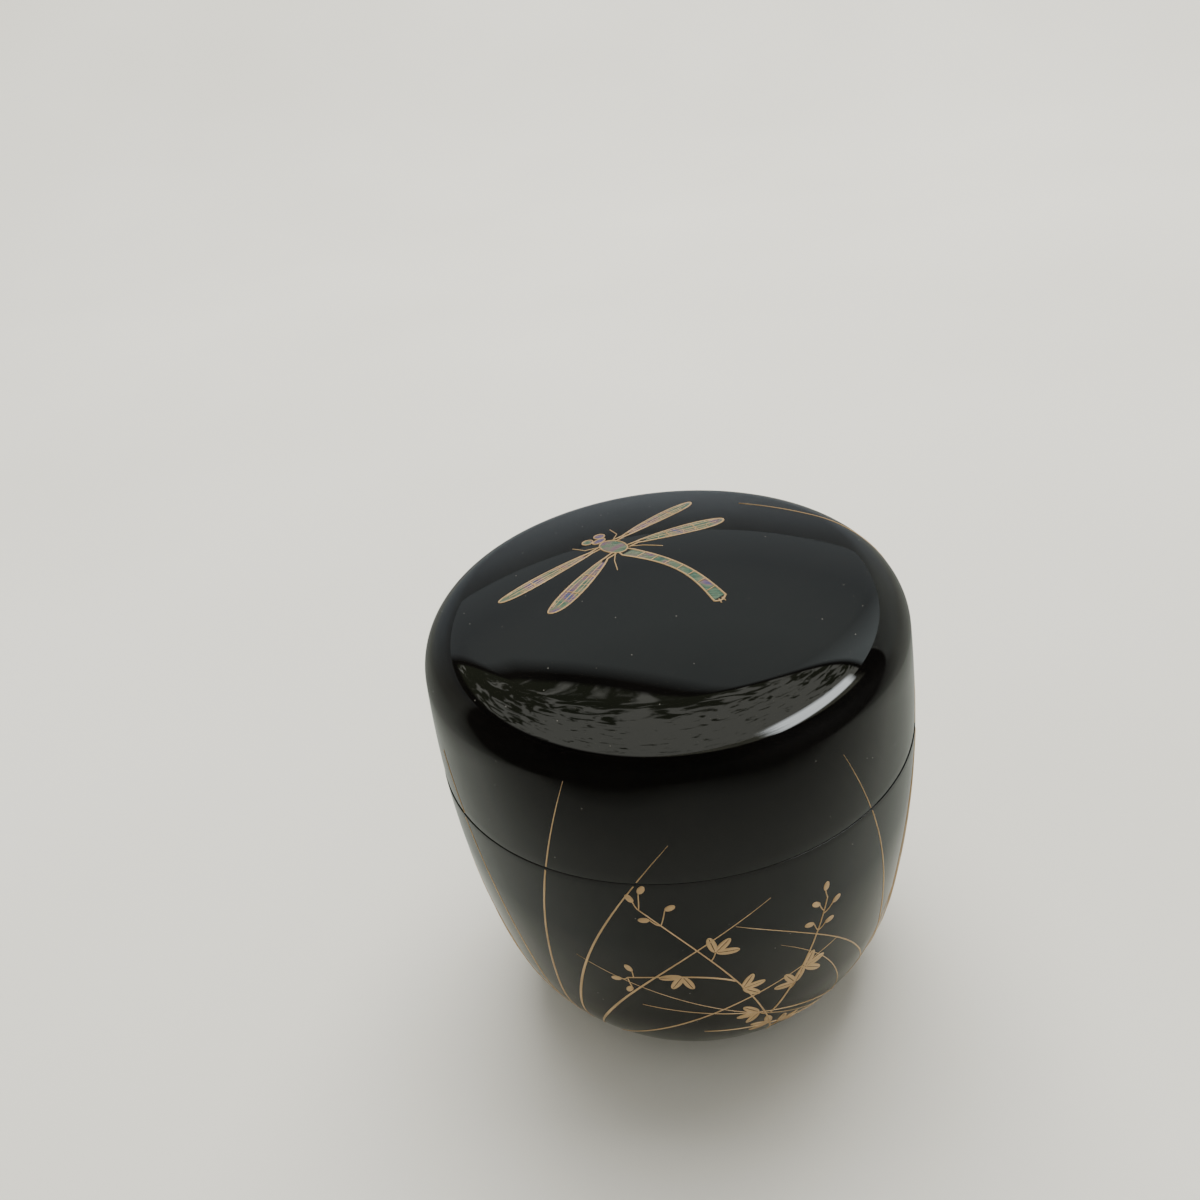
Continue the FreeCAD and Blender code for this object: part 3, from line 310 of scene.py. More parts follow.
lit = add_math(tree, "MULTIPLY", add_rise(tree, past_edge, -0.01, 0.01), fading)
print("the lit floor begins at", EDGE_LEVEL, "m on the axis")

# %% Painted reflection tones of the mirrored floor
# Painted reflection tones, seen by mirrored rays alone, and the painted darkness past the edge
PAINTED_REFLECTION_TONES = [(0.03, (0.140, 0.150, 0.150)), (0.09, (0.372, 0.400, 0.400)),
                  (0.25, (0.270, 0.290, 0.290)), (0.60, (0.330, 0.378, 0.465))]
PAINTED_RIM_REFLECTION = (0.255, 0.285, 0.335, 1.0)
PAINTED_RIGHT_REFLECTION = (0.47, 0.52, 0.55, 1.0)
PAINTED_FOOT_LIGHT = (0.86, 0.87, 0.83, 1.0)
PAINTED_SHADE_TONE = (0.007, 0.007, 0.007, 1.0)
PAINTED_WINDOW_REFLECTION = (0.50, 0.52, 0.46, 1.0)
SILL_SLOPE = 0.17
WALL_TURN = 0.5
WALL_TURN_LEFT = -0.3


def add_wall_side(tree, right, back):
    """How far a place or a direction lies towards the pale wall at the back."""
    held = add_math(tree, "MAXIMUM", right, WALL_TURN_LEFT)
    return add_math(tree, "MULTIPLY_ADD", held, WALL_TURN, back)


# Painted reflection: the mirrored floor's tone from the near edge outwards
tone = add_ramp(tree, add_rise(tree, past_edge, -0.0335, 1.1665), PAINTED_REFLECTION_TONES)
# Painted light: the mirrored floor is painted brighter close round the foot
tone = add_mix(tree, add_fall(tree, from_foot, 0.022, 0.053), tone, PAINTED_FOOT_LIGHT)
# Painted reflection: bluer high on the dish's rim, brighter far to the right
tone = add_mix(tree, add_rise(tree, high, 0.25, 0.41), tone, PAINTED_RIM_REFLECTION)
tone = add_mix(tree, add_rise(tree, across, 0.40, 0.75), tone, PAINTED_RIGHT_REFLECTION)
# Painted shade where the mirrored floor is not lit
tone = add_mix(tree, lit, PAINTED_SHADE_TONE, tone)
# Painted reflection: the window's olive tone on the dish's rim away from the back wall
sill = add_rise(tree, add_math(tree, "MULTIPLY_ADD", across, SILL_SLOPE, high), 0.345, 0.375)
beside_wall = add_fall(tree, add_wall_side(tree, across, back), 0.30, 0.42)
tone = add_mix(tree, add_math(tree, "MULTIPLY", sill, beside_wall), tone, PAINTED_WINDOW_REFLECTION)
# Mirrored rays see the pale floor times the painted tones; the lens sees it plain
gloss_ray = add_node(tree, "ShaderNodeLightPath").outputs["Is Glossy Ray"]
fill_sockets(tree, shader, {"Base Color": add_mix(tree, gloss_ray, pale, tone, blend="MULTIPLY")})
print("tones along the mirrored floor:", len(PAINTED_REFLECTION_TONES))

# %% Floor
FLAT_RADIUS = 0.5
DISH_CURVE = 0.5
DISH_STEPS = 16
DISH_RISE = math.radians(80.0)

deselect_all()
bpy.ops.mesh.primitive_circle_add(vertices=96, radius=FLAT_RADIUS, fill_type="NOTHING")
floor = bpy.context.object
floor.name = "floor"
bpy.ops.object.mode_set(mode="EDIT")
bpy.ops.mesh.select_mode(type="EDGE")
bpy.ops.mesh.select_all(action="SELECT")
reach = FLAT_RADIUS
level = 0.0
for step in range(1, DISH_STEPS + 1):
    rise = DISH_RISE * step / DISH_STEPS
    new_reach = FLAT_RADIUS + DISH_CURVE * math.sin(rise)
    new_level = DISH_CURVE * (1 - math.cos(rise))
    bpy.ops.mesh.extrude_region_move(TRANSFORM_OT_translate={"value": (0.0, 0.0, new_level - level)})
    bpy.ops.transform.resize(value=(new_reach / reach, new_reach / reach, 1.0))
    reach = new_reach
    level = new_level
bpy.ops.mesh.select_all(action="DESELECT")
bpy.ops.object.mode_set(mode="OBJECT")
for edge in floor.data.edges:
    edge.select = all(floor.data.vertices[index].co.length < FLAT_RADIUS + MM for index in edge.vertices)
bpy.ops.object.mode_set(mode="EDIT")
bpy.ops.mesh.edge_face_add()
bpy.ops.mesh.select_all(action="SELECT")
bpy.ops.mesh.normals_make_consistent(inside=True)
bpy.ops.object.mode_set(mode="OBJECT")
bpy.ops.object.shade_smooth()
dress(floor, floor_finish)
print("dish radius:", round(reach, 2), "m, height:", round(level, 2), "m")

# %% [markdown]
# ## The light
#
# Black lacquer has almost no colour of its own: what shows is the room. In the photograph the
# top mirrors a pale wall, the shoulder a wide dull window and one bright slit, and the band
# under it the dark side of the room. A lamp for each would also light the floor unevenly, so
# the room's light is even and soft, one large lamp behind the right shoulder gives the shadow
# its side, and what the gloss mirrors is drawn into the room by direction.

# %% Studio light
KEY_RADIANCE = 7.7
KEY_COLOUR = (1.0, 0.985, 0.93)
SLIT_RADIANCE = 12.0
SLIT_COLOUR = (0.93, 0.98, 1.0)
AIM_LEVEL = 0.06


def soft_box(name, place, aim, width, depth, radiance, colour):
    """A flat lamp of a given brightness per area, turned to face a point."""
    lamp = bpy.data.lights.new(name, "AREA")
    lamp.shape = "RECTANGLE"
    lamp.size = width
    lamp.size_y = depth
    lamp.color = colour
    lamp.energy = radiance * math.pi * width * depth
    box = bpy.data.objects.new(name, lamp)
    bpy.context.scene.collection.objects.link(box)
    box.location = place
    facing = (Vector(aim) - Vector(place)).to_track_quat("-Z", "Y")
    box.rotation_euler = facing.to_euler()
    print(name, "gives", round(lamp.energy, 2), "W")
    return box


def toward(azimuth, elevation, distance):
    """A point seen from the caddy: azimuth from the front to the right, in degrees."""
    turn_angle = math.radians(azimuth)
    lift = math.radians(elevation)
    return (distance * math.sin(turn_angle) * math.cos(lift),
            -distance * math.cos(turn_angle) * math.cos(lift), distance * math.sin(lift) + AIM_LEVEL)


key = soft_box("key", toward(165, 64, 1.0), aim=(0.0, 0.0, AIM_LEVEL / 2), width=0.9, depth=0.9,
               radiance=KEY_RADIANCE, colour=KEY_COLOUR)
key.visible_glossy = False
slit = soft_box("window_slit", toward(57, 20, 0.9), aim=(0.0, 0.0, AIM_LEVEL), width=0.86, depth=0.26,
                radiance=SLIT_RADIANCE, colour=SLIT_COLOUR)
slit.visible_diffuse = False

# %% Soft ends of the slit
slit.data.use_nodes = True
tree = slit.data.node_tree
spot = add_node(tree, "ShaderNodeNewGeometry").outputs["Parametric"]
along, up, unused = add_split(tree, spot)
streaks = add_noise(tree, add_stretch(tree, spot, (1.0, 12.0, 1.0)), 2.5, detail=4.0)
ragged = add_math(tree, "MULTIPLY_ADD", streaks, 0.7, along)
ends = add_math(tree, "MULTIPLY", add_rise(tree, ragged, 0.38, 0.62), add_fall(tree, along, 0.90, 1.0))
leaning = add_math(tree, "MULTIPLY_ADD", along, -0.35, up)
edges = add_math(tree, "MULTIPLY", add_fall(tree, up, 0.75, 1.0), add_rise(tree, leaning, -0.12, 0.02))
fill_sockets(tree, tree.nodes["Emission"], {"Strength": add_math(tree, "MULTIPLY", ends, edges)})
print("slit softened")

# %% Room behind the lights
ROOM_LIGHT = (0.52, 0.513, 0.477, 1.0)
DIM_LIGHT = (0.115, 0.1135, 0.1055, 1.0)

room = bpy.data.worlds.new("studio room")
bpy.context.scene.world = room
room.use_nodes = True
tree = room.node_tree
direction = add_node(tree, "ShaderNodeTexCoord").outputs["Generated"]
right, back, high = add_split(tree, direction)
wall_side = add_wall_side(tree, right, back)
lift_share = add_math(tree, "MULTIPLY_ADD", high, 0.8, back)
room_light = add_mix(tree, add_rise(tree, lift_share, -0.8, 0.7), DIM_LIGHT, ROOM_LIGHT)
print("room:", room.name)

# %% Window with leaves
WINDOW = (1.20, 1.22, 1.08, 1.0)
LEAVES = (0.14, 0.17, 0.10, 1.0)
DARK_SIDE = (0.010, 0.011, 0.012, 1.0)

leaf_zone = add_range(tree, add_math(tree, "MULTIPLY_ADD", right, -0.3, wall_side), 0.0, 0.24, -0.3, 0.5)
leafy = add_noise(tree, add_stretch(tree, direction, (1.0, 1.0, 2.2)), 7.0, detail=6.0, distortion=1.2)
leafy = add_rise(tree, add_math(tree, "ADD", leafy, leaf_zone), 0.60, 0.68)
window = add_mix(tree, leafy, WINDOW, LEAVES)
sill = add_rise(tree, add_math(tree, "MULTIPLY_ADD", right, SILL_SLOPE, high), 0.28, 0.32)
front = add_mix(tree, sill, DARK_SIDE, window)
front = add_mix(tree, add_rise(tree, wall_side, 0.455, 0.470), front, DARK_SIDE)
print("window and leaves:", WINDOW[:3], LEAVES[:3])

# %% Walls of the room
BACK_WALL = (0.335, 0.37, 0.38, 1.0)
HIGH_WALL = (0.52, 0.58, 0.57, 1.0)
RIGHT_WALL = (0.98, 1.10, 1.10, 1.0)

wall = add_mix(tree, add_rise(tree, high, 0.50, 0.72), BACK_WALL, HIGH_WALL)
rightward = add_math(tree, "SUBTRACT", right, back)
wall = add_mix(tree, add_rise(tree, rightward, 0.0, 0.6), wall, RIGHT_WALL)
mirrored_room = add_mix(tree, add_rise(tree, wall_side, 0.49, 0.54), front, wall)
gloss_ray = add_node(tree, "ShaderNodeLightPath").outputs["Is Glossy Ray"]
room_colour = add_mix(tree, gloss_ray, room_light, mirrored_room)
fill_sockets(tree, tree.nodes["Background"], {"Color": room_colour})
print("room set")

# %% [markdown]
# ## Black lacquer
#
# The last coats are polished by hand to a mirror. Close up the black is not empty: it has a
# breath of brown, faint wipe marks where it was cleaned, a few dust specks and a very slight
# waviness that bends what it mirrors. All of that is drawn by noise in the object's own
# coordinates, so it stays on the caddy from every side.

# %% Black lacquer
DUST = (0.16, 0.155, 0.14, 1.0)
DUST_ROUGHNESS = 0.6
LACQUER_IOR = 1.54


def lacquer_finish(name, depth, gloss, wave):
    """Polished black lacquer: how dark it is, its least roughness and its waviness."""
    finish, tree, shader = start_finish(name)
    place = object_place(tree)
    clouds = add_noise(tree, place, 45.0)
    black = add_ramp(tree, clouds, [(0.35, (depth, depth * 0.92, depth * 0.86)),
                                    (0.75, (depth * 1.9, depth * 1.65, depth * 1.45))])
    specks = add_node(tree, "ShaderNodeTexVoronoi", {"Vector": place, "Scale": 420.0, "Randomness": 1.0})
    dust = add_fall(tree, specks.outputs["Distance"], 0.022, 0.04)
    wiped = add_stretch(tree, place, (1.0, 6.0, 2.0), rotation=(0.3, 0.5, 0.6))
    wiping = add_noise(tree, wiped, 40.0, detail=6.0, roughness=0.65)
    haze = add_range(tree, wiping, gloss, gloss + 0.05, 0.45, 0.8)
    swell = add_noise(tree, place, 55.0, detail=1.0)
    fill_sockets(tree, shader, {"Base Color": add_mix(tree, dust, black, DUST),
                                "Roughness": add_mix(tree, dust, haze, DUST_ROUGHNESS, kind="FLOAT"),
                                "Normal": add_bump(tree, swell, wave),
                                "IOR": LACQUER_IOR, "Specular IOR Level": 0.5})
    return finish


outer_lacquer = lacquer_finish("black lacquer", 0.0022, 0.022, 0.00002)
# The inside black is satin and lighter than the outer coat: its lift is painted fill, so the shaded inside of
# the cup and lid shows its form
inner_lacquer = lacquer_finish("inside lacquer", 0.0160, 0.16, 0.00004)
print("lacquer finishes:", outer_lacquer.name, "and", inner_lacquer.name)

# %% [markdown]
# ## Gold and shell
#
# The lines are drawn in wet lacquer and dusted with gold powder, so they are metal, but dull
# and finely grained rather than shiny. The wings and body are thin chips of sea shell, which
# turn from green to pink and violet and lie under a clear coat.

# %% Gold powder
GOLD_TONES = [(0.3, (0.44, 0.285, 0.14)), (0.7, (0.62, 0.42, 0.215))]

gold_powder, tree, shader = start_finish("gold powder")
place = object_place(tree)
drift = add_noise(tree, place, 160.0)
grain = add_noise(tree, place, 9000.0, detail=2.0)
fill_sockets(tree, shader, {"Base Color": add_ramp(tree, drift, GOLD_TONES),
                            "Roughness": add_range(tree, grain, 0.34, 0.56),
                            "Normal": add_bump(tree, grain, 0.00002, 0.6),
                            "Metallic": 0.4, "Coat Weight": 0.3, "Coat Roughness": 0.12})
print("gold finish:", gold_powder.name)

# %% Sea shell
SHELL_HUES = [(0.28, (0.045, 0.085, 0.09)), (0.40, (0.075, 0.15, 0.10)), (0.49, (0.17, 0.20, 0.13)),
              (0.56, (0.22, 0.13, 0.15)), (0.64, (0.11, 0.09, 0.20)), (0.76, (0.06, 0.15, 0.15))]

sea_shell, tree, shader = start_finish("sea shell")
place = object_place(tree)
bands = add_noise(tree, place, 210.0, distortion=1.2)
drawn_out = add_stretch(tree, place, (1.0, 5.0, 1.0), rotation=(0.0, 0.0, 0.9))
layers = add_noise(tree, drawn_out, 420.0, detail=4.0)
fill_sockets(tree, shader, {"Base Color": add_ramp(tree, bands, SHELL_HUES),
                            "Roughness": add_range(tree, layers, 0.14, 0.36, 0.3, 0.7),
                            "Normal": add_bump(tree, layers, 0.00001),
                            "Metallic": 0.45, "Coat Weight": 0.4, "Coat Roughness": 0.05})
print("shell finish:", sea_shell.name)

# %% [markdown]
# ## Under the lacquer
#
# The wood cores, the cloth and the ground coats hide under the black, but they are what the
# real caddy is made of, and they show wherever a half is cut open. Their shapes come from the
# frame, so only a finish is added here: turned wood with its year rings, a matt ground of
# burnt clay powder and lacquer, and a coarse hemp weave soaked in lacquer. Plain colours
# would tell the layers apart, but grain and weave also say what each one is for.

# %% Turned wood and ground coat
RING_SCALE = 170.0
WOOD_TONES = [(0.25, (0.62, 0.42, 0.22)), (0.75, (0.50, 0.31, 0.15)), (1.0, (0.33, 0.19, 0.09))]
GROUND_TONES = [(0.35, (0.060, 0.050, 0.042)), (0.65, (0.115, 0.098, 0.080))]

turned_wood, tree, shader = start_finish("turned wood")
trunk = add_stretch(tree, object_place(tree), (1.0, 1.0, 0.10), location=(0.055, 0.02, 0.0))
rings = add_node(tree, "ShaderNodeTexWave",
                 {"Vector": trunk, "Scale": RING_SCALE, "Distortion": 2.5, "Detail": 2.0},
                 wave_type="RINGS", rings_direction="Z")
pores = add_noise(tree, trunk, 2600.0, detail=2.0)
grain = add_math(tree, "MULTIPLY_ADD", pores, 0.45, rings.outputs["Fac"])
fill_sockets(tree, shader, {"Base Color": add_ramp(tree, grain, WOOD_TONES),
                            "Roughness": add_range(tree, pores, 0.5, 0.8),
                            "Normal": add_bump(tree, pores, 0.00005)})

ground_coat, tree, shader = start_finish("ground coat")
powder = add_noise(tree, object_place(tree), 2200.0, detail=5.0, roughness=0.7)
fill_sockets(tree, shader, {"Base Color": add_ramp(tree, powder, GROUND_TONES),
                            "Roughness": add_range(tree, powder, 0.75, 0.95),
                            "Normal": add_bump(tree, powder, 0.00004)})
print("finishes:", turned_wood.name, "and", ground_coat.name)

# %% Hemp cloth
THREAD = 0.0008
MOUTH_RADIUS = 0.0315
CLOTH_TONES = [(0.2, (0.075, 0.048, 0.026)), (1.0, (0.30, 0.215, 0.125))]


def cloth_finish(name, wrapped):
    """A plain weave of coarse thread, wrapped round the mouth or laid flat."""
    finish, tree, shader = start_finish(name)
    place = object_place(tree)
    across, along, high = add_split(tree, place)
    if wrapped:
        across = add_math(tree, "MULTIPLY", add_math(tree, "ARCTAN2", along, across), MOUTH_RADIUS)
        along = high
    ridges = []
    cells = []
    for run in (across, along):
        count = add_math(tree, "MULTIPLY", run, 1 / THREAD)
        wave = add_math(tree, "SINE", add_math(tree, "MULTIPLY", count, math.pi))
        ridges.append(add_math(tree, "ABSOLUTE", wave))
        cells.append(add_math(tree, "FLOOR", count))
    turned = add_math(tree, "FLOORED_MODULO", add_math(tree, "ADD", *cells), 2.0)
    weave = add_mix(tree, turned, *ridges, kind="FLOAT")
    fuzz = add_noise(tree, place, 4000.0)
    # Painted shade: each thread lighter on its crown and darker at its edges, with random fuzz
    fuzz_and_thread_shade = add_math(tree, "MULTIPLY_ADD", fuzz, 0.4, weave)
    fill_sockets(tree, shader, {"Base Color": add_ramp(tree, fuzz_and_thread_shade, CLOTH_TONES),
                                "Roughness": add_range(tree, weave, 0.9, 0.6),
                                "Normal": add_bump(tree, weave, 0.00012)})
    return finish


wrapped_cloth = cloth_finish("hemp cloth round the mouth", True)
laid_cloth = cloth_finish("hemp cloth under the base", False)
print("cloth finishes:", wrapped_cloth.name, "and", laid_cloth.name)

# %% Finish the hidden layers
HIDDEN_LAYERS = {"body_wood_core": turned_wood, "lid_wood_core": turned_wood,
                 "body_ground_coat": ground_coat, "lid_ground_coat": ground_coat,
                 "body_mouth_cloth": wrapped_cloth, "lid_mouth_cloth": wrapped_cloth,
                 "body_base_cloth": laid_cloth}
for layer, finish in HIDDEN_LAYERS.items():
    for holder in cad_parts[layer].material_slots:
        holder.material = finish
    print(layer, "wears", finish.name)

# %% [markdown]
# ## Turning the skins
#
# The black skins are what the lathe and the polishing left: surfaces with no flat facet
# anywhere. Each is one outline, extruded point by point from a single vertex and then spun
# about the axis. An outline runs from the middle of one face round the rim to the middle of
# the other face, so that the skin is a closed coat with a real thickness.

# %% Lathe
SPIN_STEPS = 240
MERGE_REACH = 0.000002
SKIN_CREASE = math.radians(40)


def lathe(name, outline):
    """Spin an outline, given in millimetres, into a closed smooth skin."""
    deselect_all()
    bpy.ops.mesh.primitive_plane_add(size=MM)
    skin = bpy.context.object
    skin.name = skin.data.name = name
    bpy.ops.object.mode_set(mode="EDIT")
    bpy.ops.mesh.select_mode(type="VERT")
    bpy.ops.mesh.select_all(action="SELECT")
    bpy.ops.mesh.merge(type="CENTER")
    bpy.ops.transform.translate(value=(outline[0][0] * MM, 0.0, outline[0][1] * MM))
    for low, high in zip(outline, outline[1:]):
        step = ((high[0] - low[0]) * MM, 0.0, (high[1] - low[1]) * MM)
        bpy.ops.mesh.extrude_region_move(TRANSFORM_OT_translate={"value": step})
    bpy.ops.mesh.select_all(action="SELECT")
    bpy.ops.mesh.spin(steps=SPIN_STEPS, angle=math.tau, center=(0, 0, 0), axis=(0, 0, 1))
    bpy.ops.mesh.select_all(action="SELECT")
    bpy.ops.mesh.remove_doubles(threshold=MERGE_REACH)
    bpy.ops.mesh.normals_make_consistent(inside=False)
    bpy.ops.object.mode_set(mode="OBJECT")
    bpy.ops.object.shade_smooth_by_angle(angle=SKIN_CREASE)
    print(name, "has", len(skin.data.polygons), "faces")
    return skin


# %% Outlines of the two halves


def reach_at(centre, radius, level):
    """How far from the axis an arc is at a level."""
    return centre[0] + math.sqrt(radius ** 2 - (level - centre[1]) ** 2)


def lid_outside(offset, level, steps):
    """From the middle of the lid's top down its side to a level, offset into the wall."""
    side_start = (reach_at(LID_SIDE_CENTRE, LID_SIDE_RADIUS - offset, level), level)
    return (arc_points(DOME_CENTRE, DOME_RADIUS - offset, 90, DOME_EDGE, steps)
            + arc_points(SHOULDER_CENTRE, SHOULDER_RADIUS - offset, DOME_EDGE, SIDE_TOP, steps)[1:]
            + arc_points(LID_SIDE_CENTRE, LID_SIDE_RADIUS - offset, SIDE_TOP,
                         angle_at(LID_SIDE_CENTRE, side_start), steps // 3)[1:])


def body_outside(offset, high, low, steps):
    """From a level under the seam down the body's side and belly to a low level."""
    side_start = (reach_at(BODY_SIDE_CENTRE, BODY_SIDE_RADIUS - offset, high), high)
    belly_end = (reach_at(BELLY_CENTRE, BELLY_RADIUS - offset, low), low)
    return (arc_points(BODY_SIDE_CENTRE, BODY_SIDE_RADIUS - offset,
                       angle_at(BODY_SIDE_CENTRE, side_start), SIDE_FOOT, steps)
            + arc_points(BELLY_CENTRE, BELLY_RADIUS - offset, SIDE_FOOT,
                         angle_at(BELLY_CENTRE, belly_end), steps)[1:])


EDGE_ROUND = 0.05
RIM_EDGE = reach_at(LID_SIDE_CENTRE, LID_SIDE_RADIUS, SEAM)
LEDGE_EDGE = reach_at(BODY_SIDE_CENTRE, BODY_SIDE_RADIUS, SEAM)
FOOT_EDGE = reach_at(BELLY_CENTRE, BELLY_RADIUS, 0.0)
print("rim, ledge and foot radius:", [round(value, 2) for value in (RIM_EDGE, LEDGE_EDGE, FOOT_EDGE)])

# %% Lid's outer lacquer
rim_round = arc_points((RIM_EDGE - EDGE_ROUND, SEAM + EDGE_ROUND), EDGE_ROUND, 0, -90, 5)
lid_outline = (lid_outside(0.0, SEAM + EDGE_ROUND, 30)[:-1] + rim_round
               + [(BORE + LINING, SEAM), (BORE + LINING, SEAM + COAT)]
               + lid_outside(COAT, SEAM + COAT, 12)[::-1])
lid_lacquer = lathe("lid_black_lacquer", lid_outline)
dress(lid_lacquer, outer_lacquer)
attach(lid_lacquer, "lid")
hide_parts("lid_outer_lacquer")

# %% Body's outer lacquer
FOOT_ROUND = 0.2
FOOT_INSET = 0.22
BELLY_END = 0.12
COLLAR_CORE = COLLAR_OUTSIDE - LINING
ledge_round = arc_points((LEDGE_EDGE - EDGE_ROUND, SEAM - EDGE_ROUND), EDGE_ROUND, 90, 0, 5)
foot_round = arc_points((FOOT_EDGE - FOOT_INSET, FOOT_ROUND), FOOT_ROUND, -45, -90, 4)
recess_round = arc_points((RECESS_RADIUS + FOOT_ROUND, FOOT_ROUND), FOOT_ROUND, -90, -180, 4)
body_outline = ([(0.0, RECESS), (RECESS_RADIUS, RECESS)] + recess_round[::-1] + foot_round[::-1]
                + body_outside(0.0, SEAM - EDGE_ROUND, BELLY_END, 28)[::-1][:-1] + ledge_round[::-1]
                + [(COLLAR_CORE, SEAM), (COLLAR_CORE, SEAM - COAT)]
                + body_outside(COAT, SEAM - COAT, COAT, 12)
                + [(RECESS_RADIUS + COAT, COAT), (RECESS_RADIUS + COAT, RECESS + COAT), (0.0, RECESS + COAT)])
body_lacquer = lathe("body_black_lacquer", body_outline)
dress(body_lacquer, outer_lacquer)
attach(body_lacquer, "body")
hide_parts("body_outer_lacquer")

# %% [markdown]
# ## The linings
#
# Inside, the lid and the cup wear their own thinner black lacquer, which also covers the low
# collar that the lid slips over. They show only when the lid is lifted off, but then they are
# most of what is seen, so they are turned in the same way.

# %% Body's lining
BODY_WALL = 3.1
BOWL_RADIUS = 16.0
COLLAR_ROUND = 0.25
INSIDE_RADIUS = BODY_RADIUS - BODY_WALL


def cup_inside(backing, steps):
    """From the middle of the floor up the bowl and wall to the widest level."""
    side = BODY_SIDE_RADIUS - BODY_WALL + backing
    bowl = BOWL_RADIUS + backing
    bowl_level = FLOOR + BOWL_RADIUS
    bowl_centre = (reach_at(BODY_SIDE_CENTRE, side - bowl, bowl_level), bowl_level)
    bowl_top = angle_at(BODY_SIDE_CENTRE, bowl_centre)
    return ([(0.0, FLOOR - backing)] + arc_points(bowl_centre, bowl, -90, bowl_top, steps)
            + arc_points(BODY_SIDE_CENTRE, side, bowl_top, 0, steps // 2)[1:])


inner_round = arc_points((INSIDE_RADIUS + COLLAR_ROUND, COLLAR_TOP - COLLAR_ROUND), COLLAR_ROUND, 180, 90, 5)
outer_round = arc_points((COLLAR_OUTSIDE - COLLAR_ROUND, COLLAR_TOP - COLLAR_ROUND), COLLAR_ROUND, 90, 0, 5)
cup_outline = (cup_inside(0.0, 24) + inner_round + outer_round
               + [(COLLAR_OUTSIDE, SEAM), (COLLAR_CORE, SEAM), (COLLAR_CORE, COLLAR_TOP - LINING),
                  (INSIDE_RADIUS + LINING, COLLAR_TOP - LINING)]
               + cup_inside(LINING, 12)[::-1])
cup_lining = lathe("body_lining", cup_outline)
dress(cup_lining, inner_lacquer)
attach(cup_lining, "body")
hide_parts("body_inner_lacquer")

# %% Lid's lining
LID_TOP_WALL = 3.0
LID_CORNER = 7.0


def lid_inside(backing, steps):
    """From the middle of the lid's ceiling round its corner and down to the rim."""
    dome = DOME_RADIUS - LID_TOP_WALL + backing
    corner = LID_CORNER + backing
    corner_reach = BORE - LID_CORNER
    corner_level = DOME_CENTRE[1] + math.sqrt((dome - corner) ** 2 - corner_reach ** 2)
    corner_start = angle_at(DOME_CENTRE, (corner_reach, corner_level))
    return (arc_points(DOME_CENTRE, dome, 90, corner_start, steps)
            + arc_points((corner_reach, corner_level), corner, corner_start, 0, steps // 2)[1:]
            + [(BORE + backing, SEAM)])


lid_lining = lathe("lid_lining", lid_inside(0.0, 24) + lid_inside(LINING, 12)[::-1])
dress(lid_lining, inner_lacquer)
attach(lid_lining, "lid")
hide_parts("lid_inner_lacquer")

# %% [markdown]
# ## Places on the skin
#
# A painter draws on the turned form with a brush, so every line follows the skin. A flat
# drawing could be projected on it, but then it would stretch on the shoulder. Here a place is
# given as on the real thing: how far round from the front, and how far up or down the side
# from the seam, measured along the skin.

# %% Skin places
LID_ARCS = [(LID_SIDE_CENTRE, LID_SIDE_RADIUS, angle_at(LID_SIDE_CENTRE, (RIM_EDGE, SEAM)), SIDE_TOP),
            (SHOULDER_CENTRE, SHOULDER_RADIUS, SIDE_TOP, DOME_EDGE),
            (DOME_CENTRE, DOME_RADIUS, DOME_EDGE, 90.0)]
BODY_ARCS = [(BODY_SIDE_CENTRE, BODY_SIDE_RADIUS, angle_at(BODY_SIDE_CENTRE, (LEDGE_EDGE, SEAM)), SIDE_FOOT),
             (BELLY_CENTRE, BELLY_RADIUS, SIDE_FOOT, angle_at(BELLY_CENTRE, (FOOT_EDGE, 0.0)))]


def arc_length(arc):
    """The length of one arc of the outline, in millimetres."""
    return arc[1] * math.radians(abs(arc[3] - arc[2]))


LID_LENGTH = sum(arc_length(arc) for arc in LID_ARCS)


def skin_place(angle, length):
    """The point on the skin and the way it faces, at an angle and a length from the seam."""
    arcs = LID_ARCS if length > 0 else BODY_ARCS
    left = abs(length)
    for arc in arcs:
        if left <= arc_length(arc):
            break
        left -= arc_length(arc)
    else:
        left += arc_length(arcs[-1])
    centre, radius, start, end = arc
    tilt = math.radians(start) + math.copysign(left / radius, end - start)
    around = Vector((math.sin(angle), -math.cos(angle), 0.0))
    point = around * (centre[0] + radius * math.cos(tilt)) * MM
    point.z = (centre[1] + radius * math.sin(tilt)) * MM
    return point, around * math.cos(tilt) + Vector((0.0, 0.0, math.sin(tilt)))


def side_place(knot):
    """A place on the side, from an angle in degrees and a share of the seam's height."""
    return skin_place(math.radians(knot[0]), knot[1] * SEAM)


def top_place(across, back):
    """A place on the lid's top, by its distances right and back from the middle."""
    return skin_place(math.atan2(across, -back), LID_LENGTH - math.hypot(across, back))


print("from seam to the middle of the top:", round(LID_LENGTH, 1), "mm")

# %% [markdown]
# ## One brush line
#
# A drawn line stands a little proud, with a rounded back and soft edges. It starts as a thin
# rod, cut into rings along its length. Each ring is then carried to its place on the skin and
# flattened, half sunk, so that only the rounded back shows. The carrying is done point by
# point, because no single operator wraps a rod round a turned form at a changing width.

# %% Brush line
LINE_RINGS = 33
SHORT_RINGS = 13
LINE_HEIGHT = 0.06


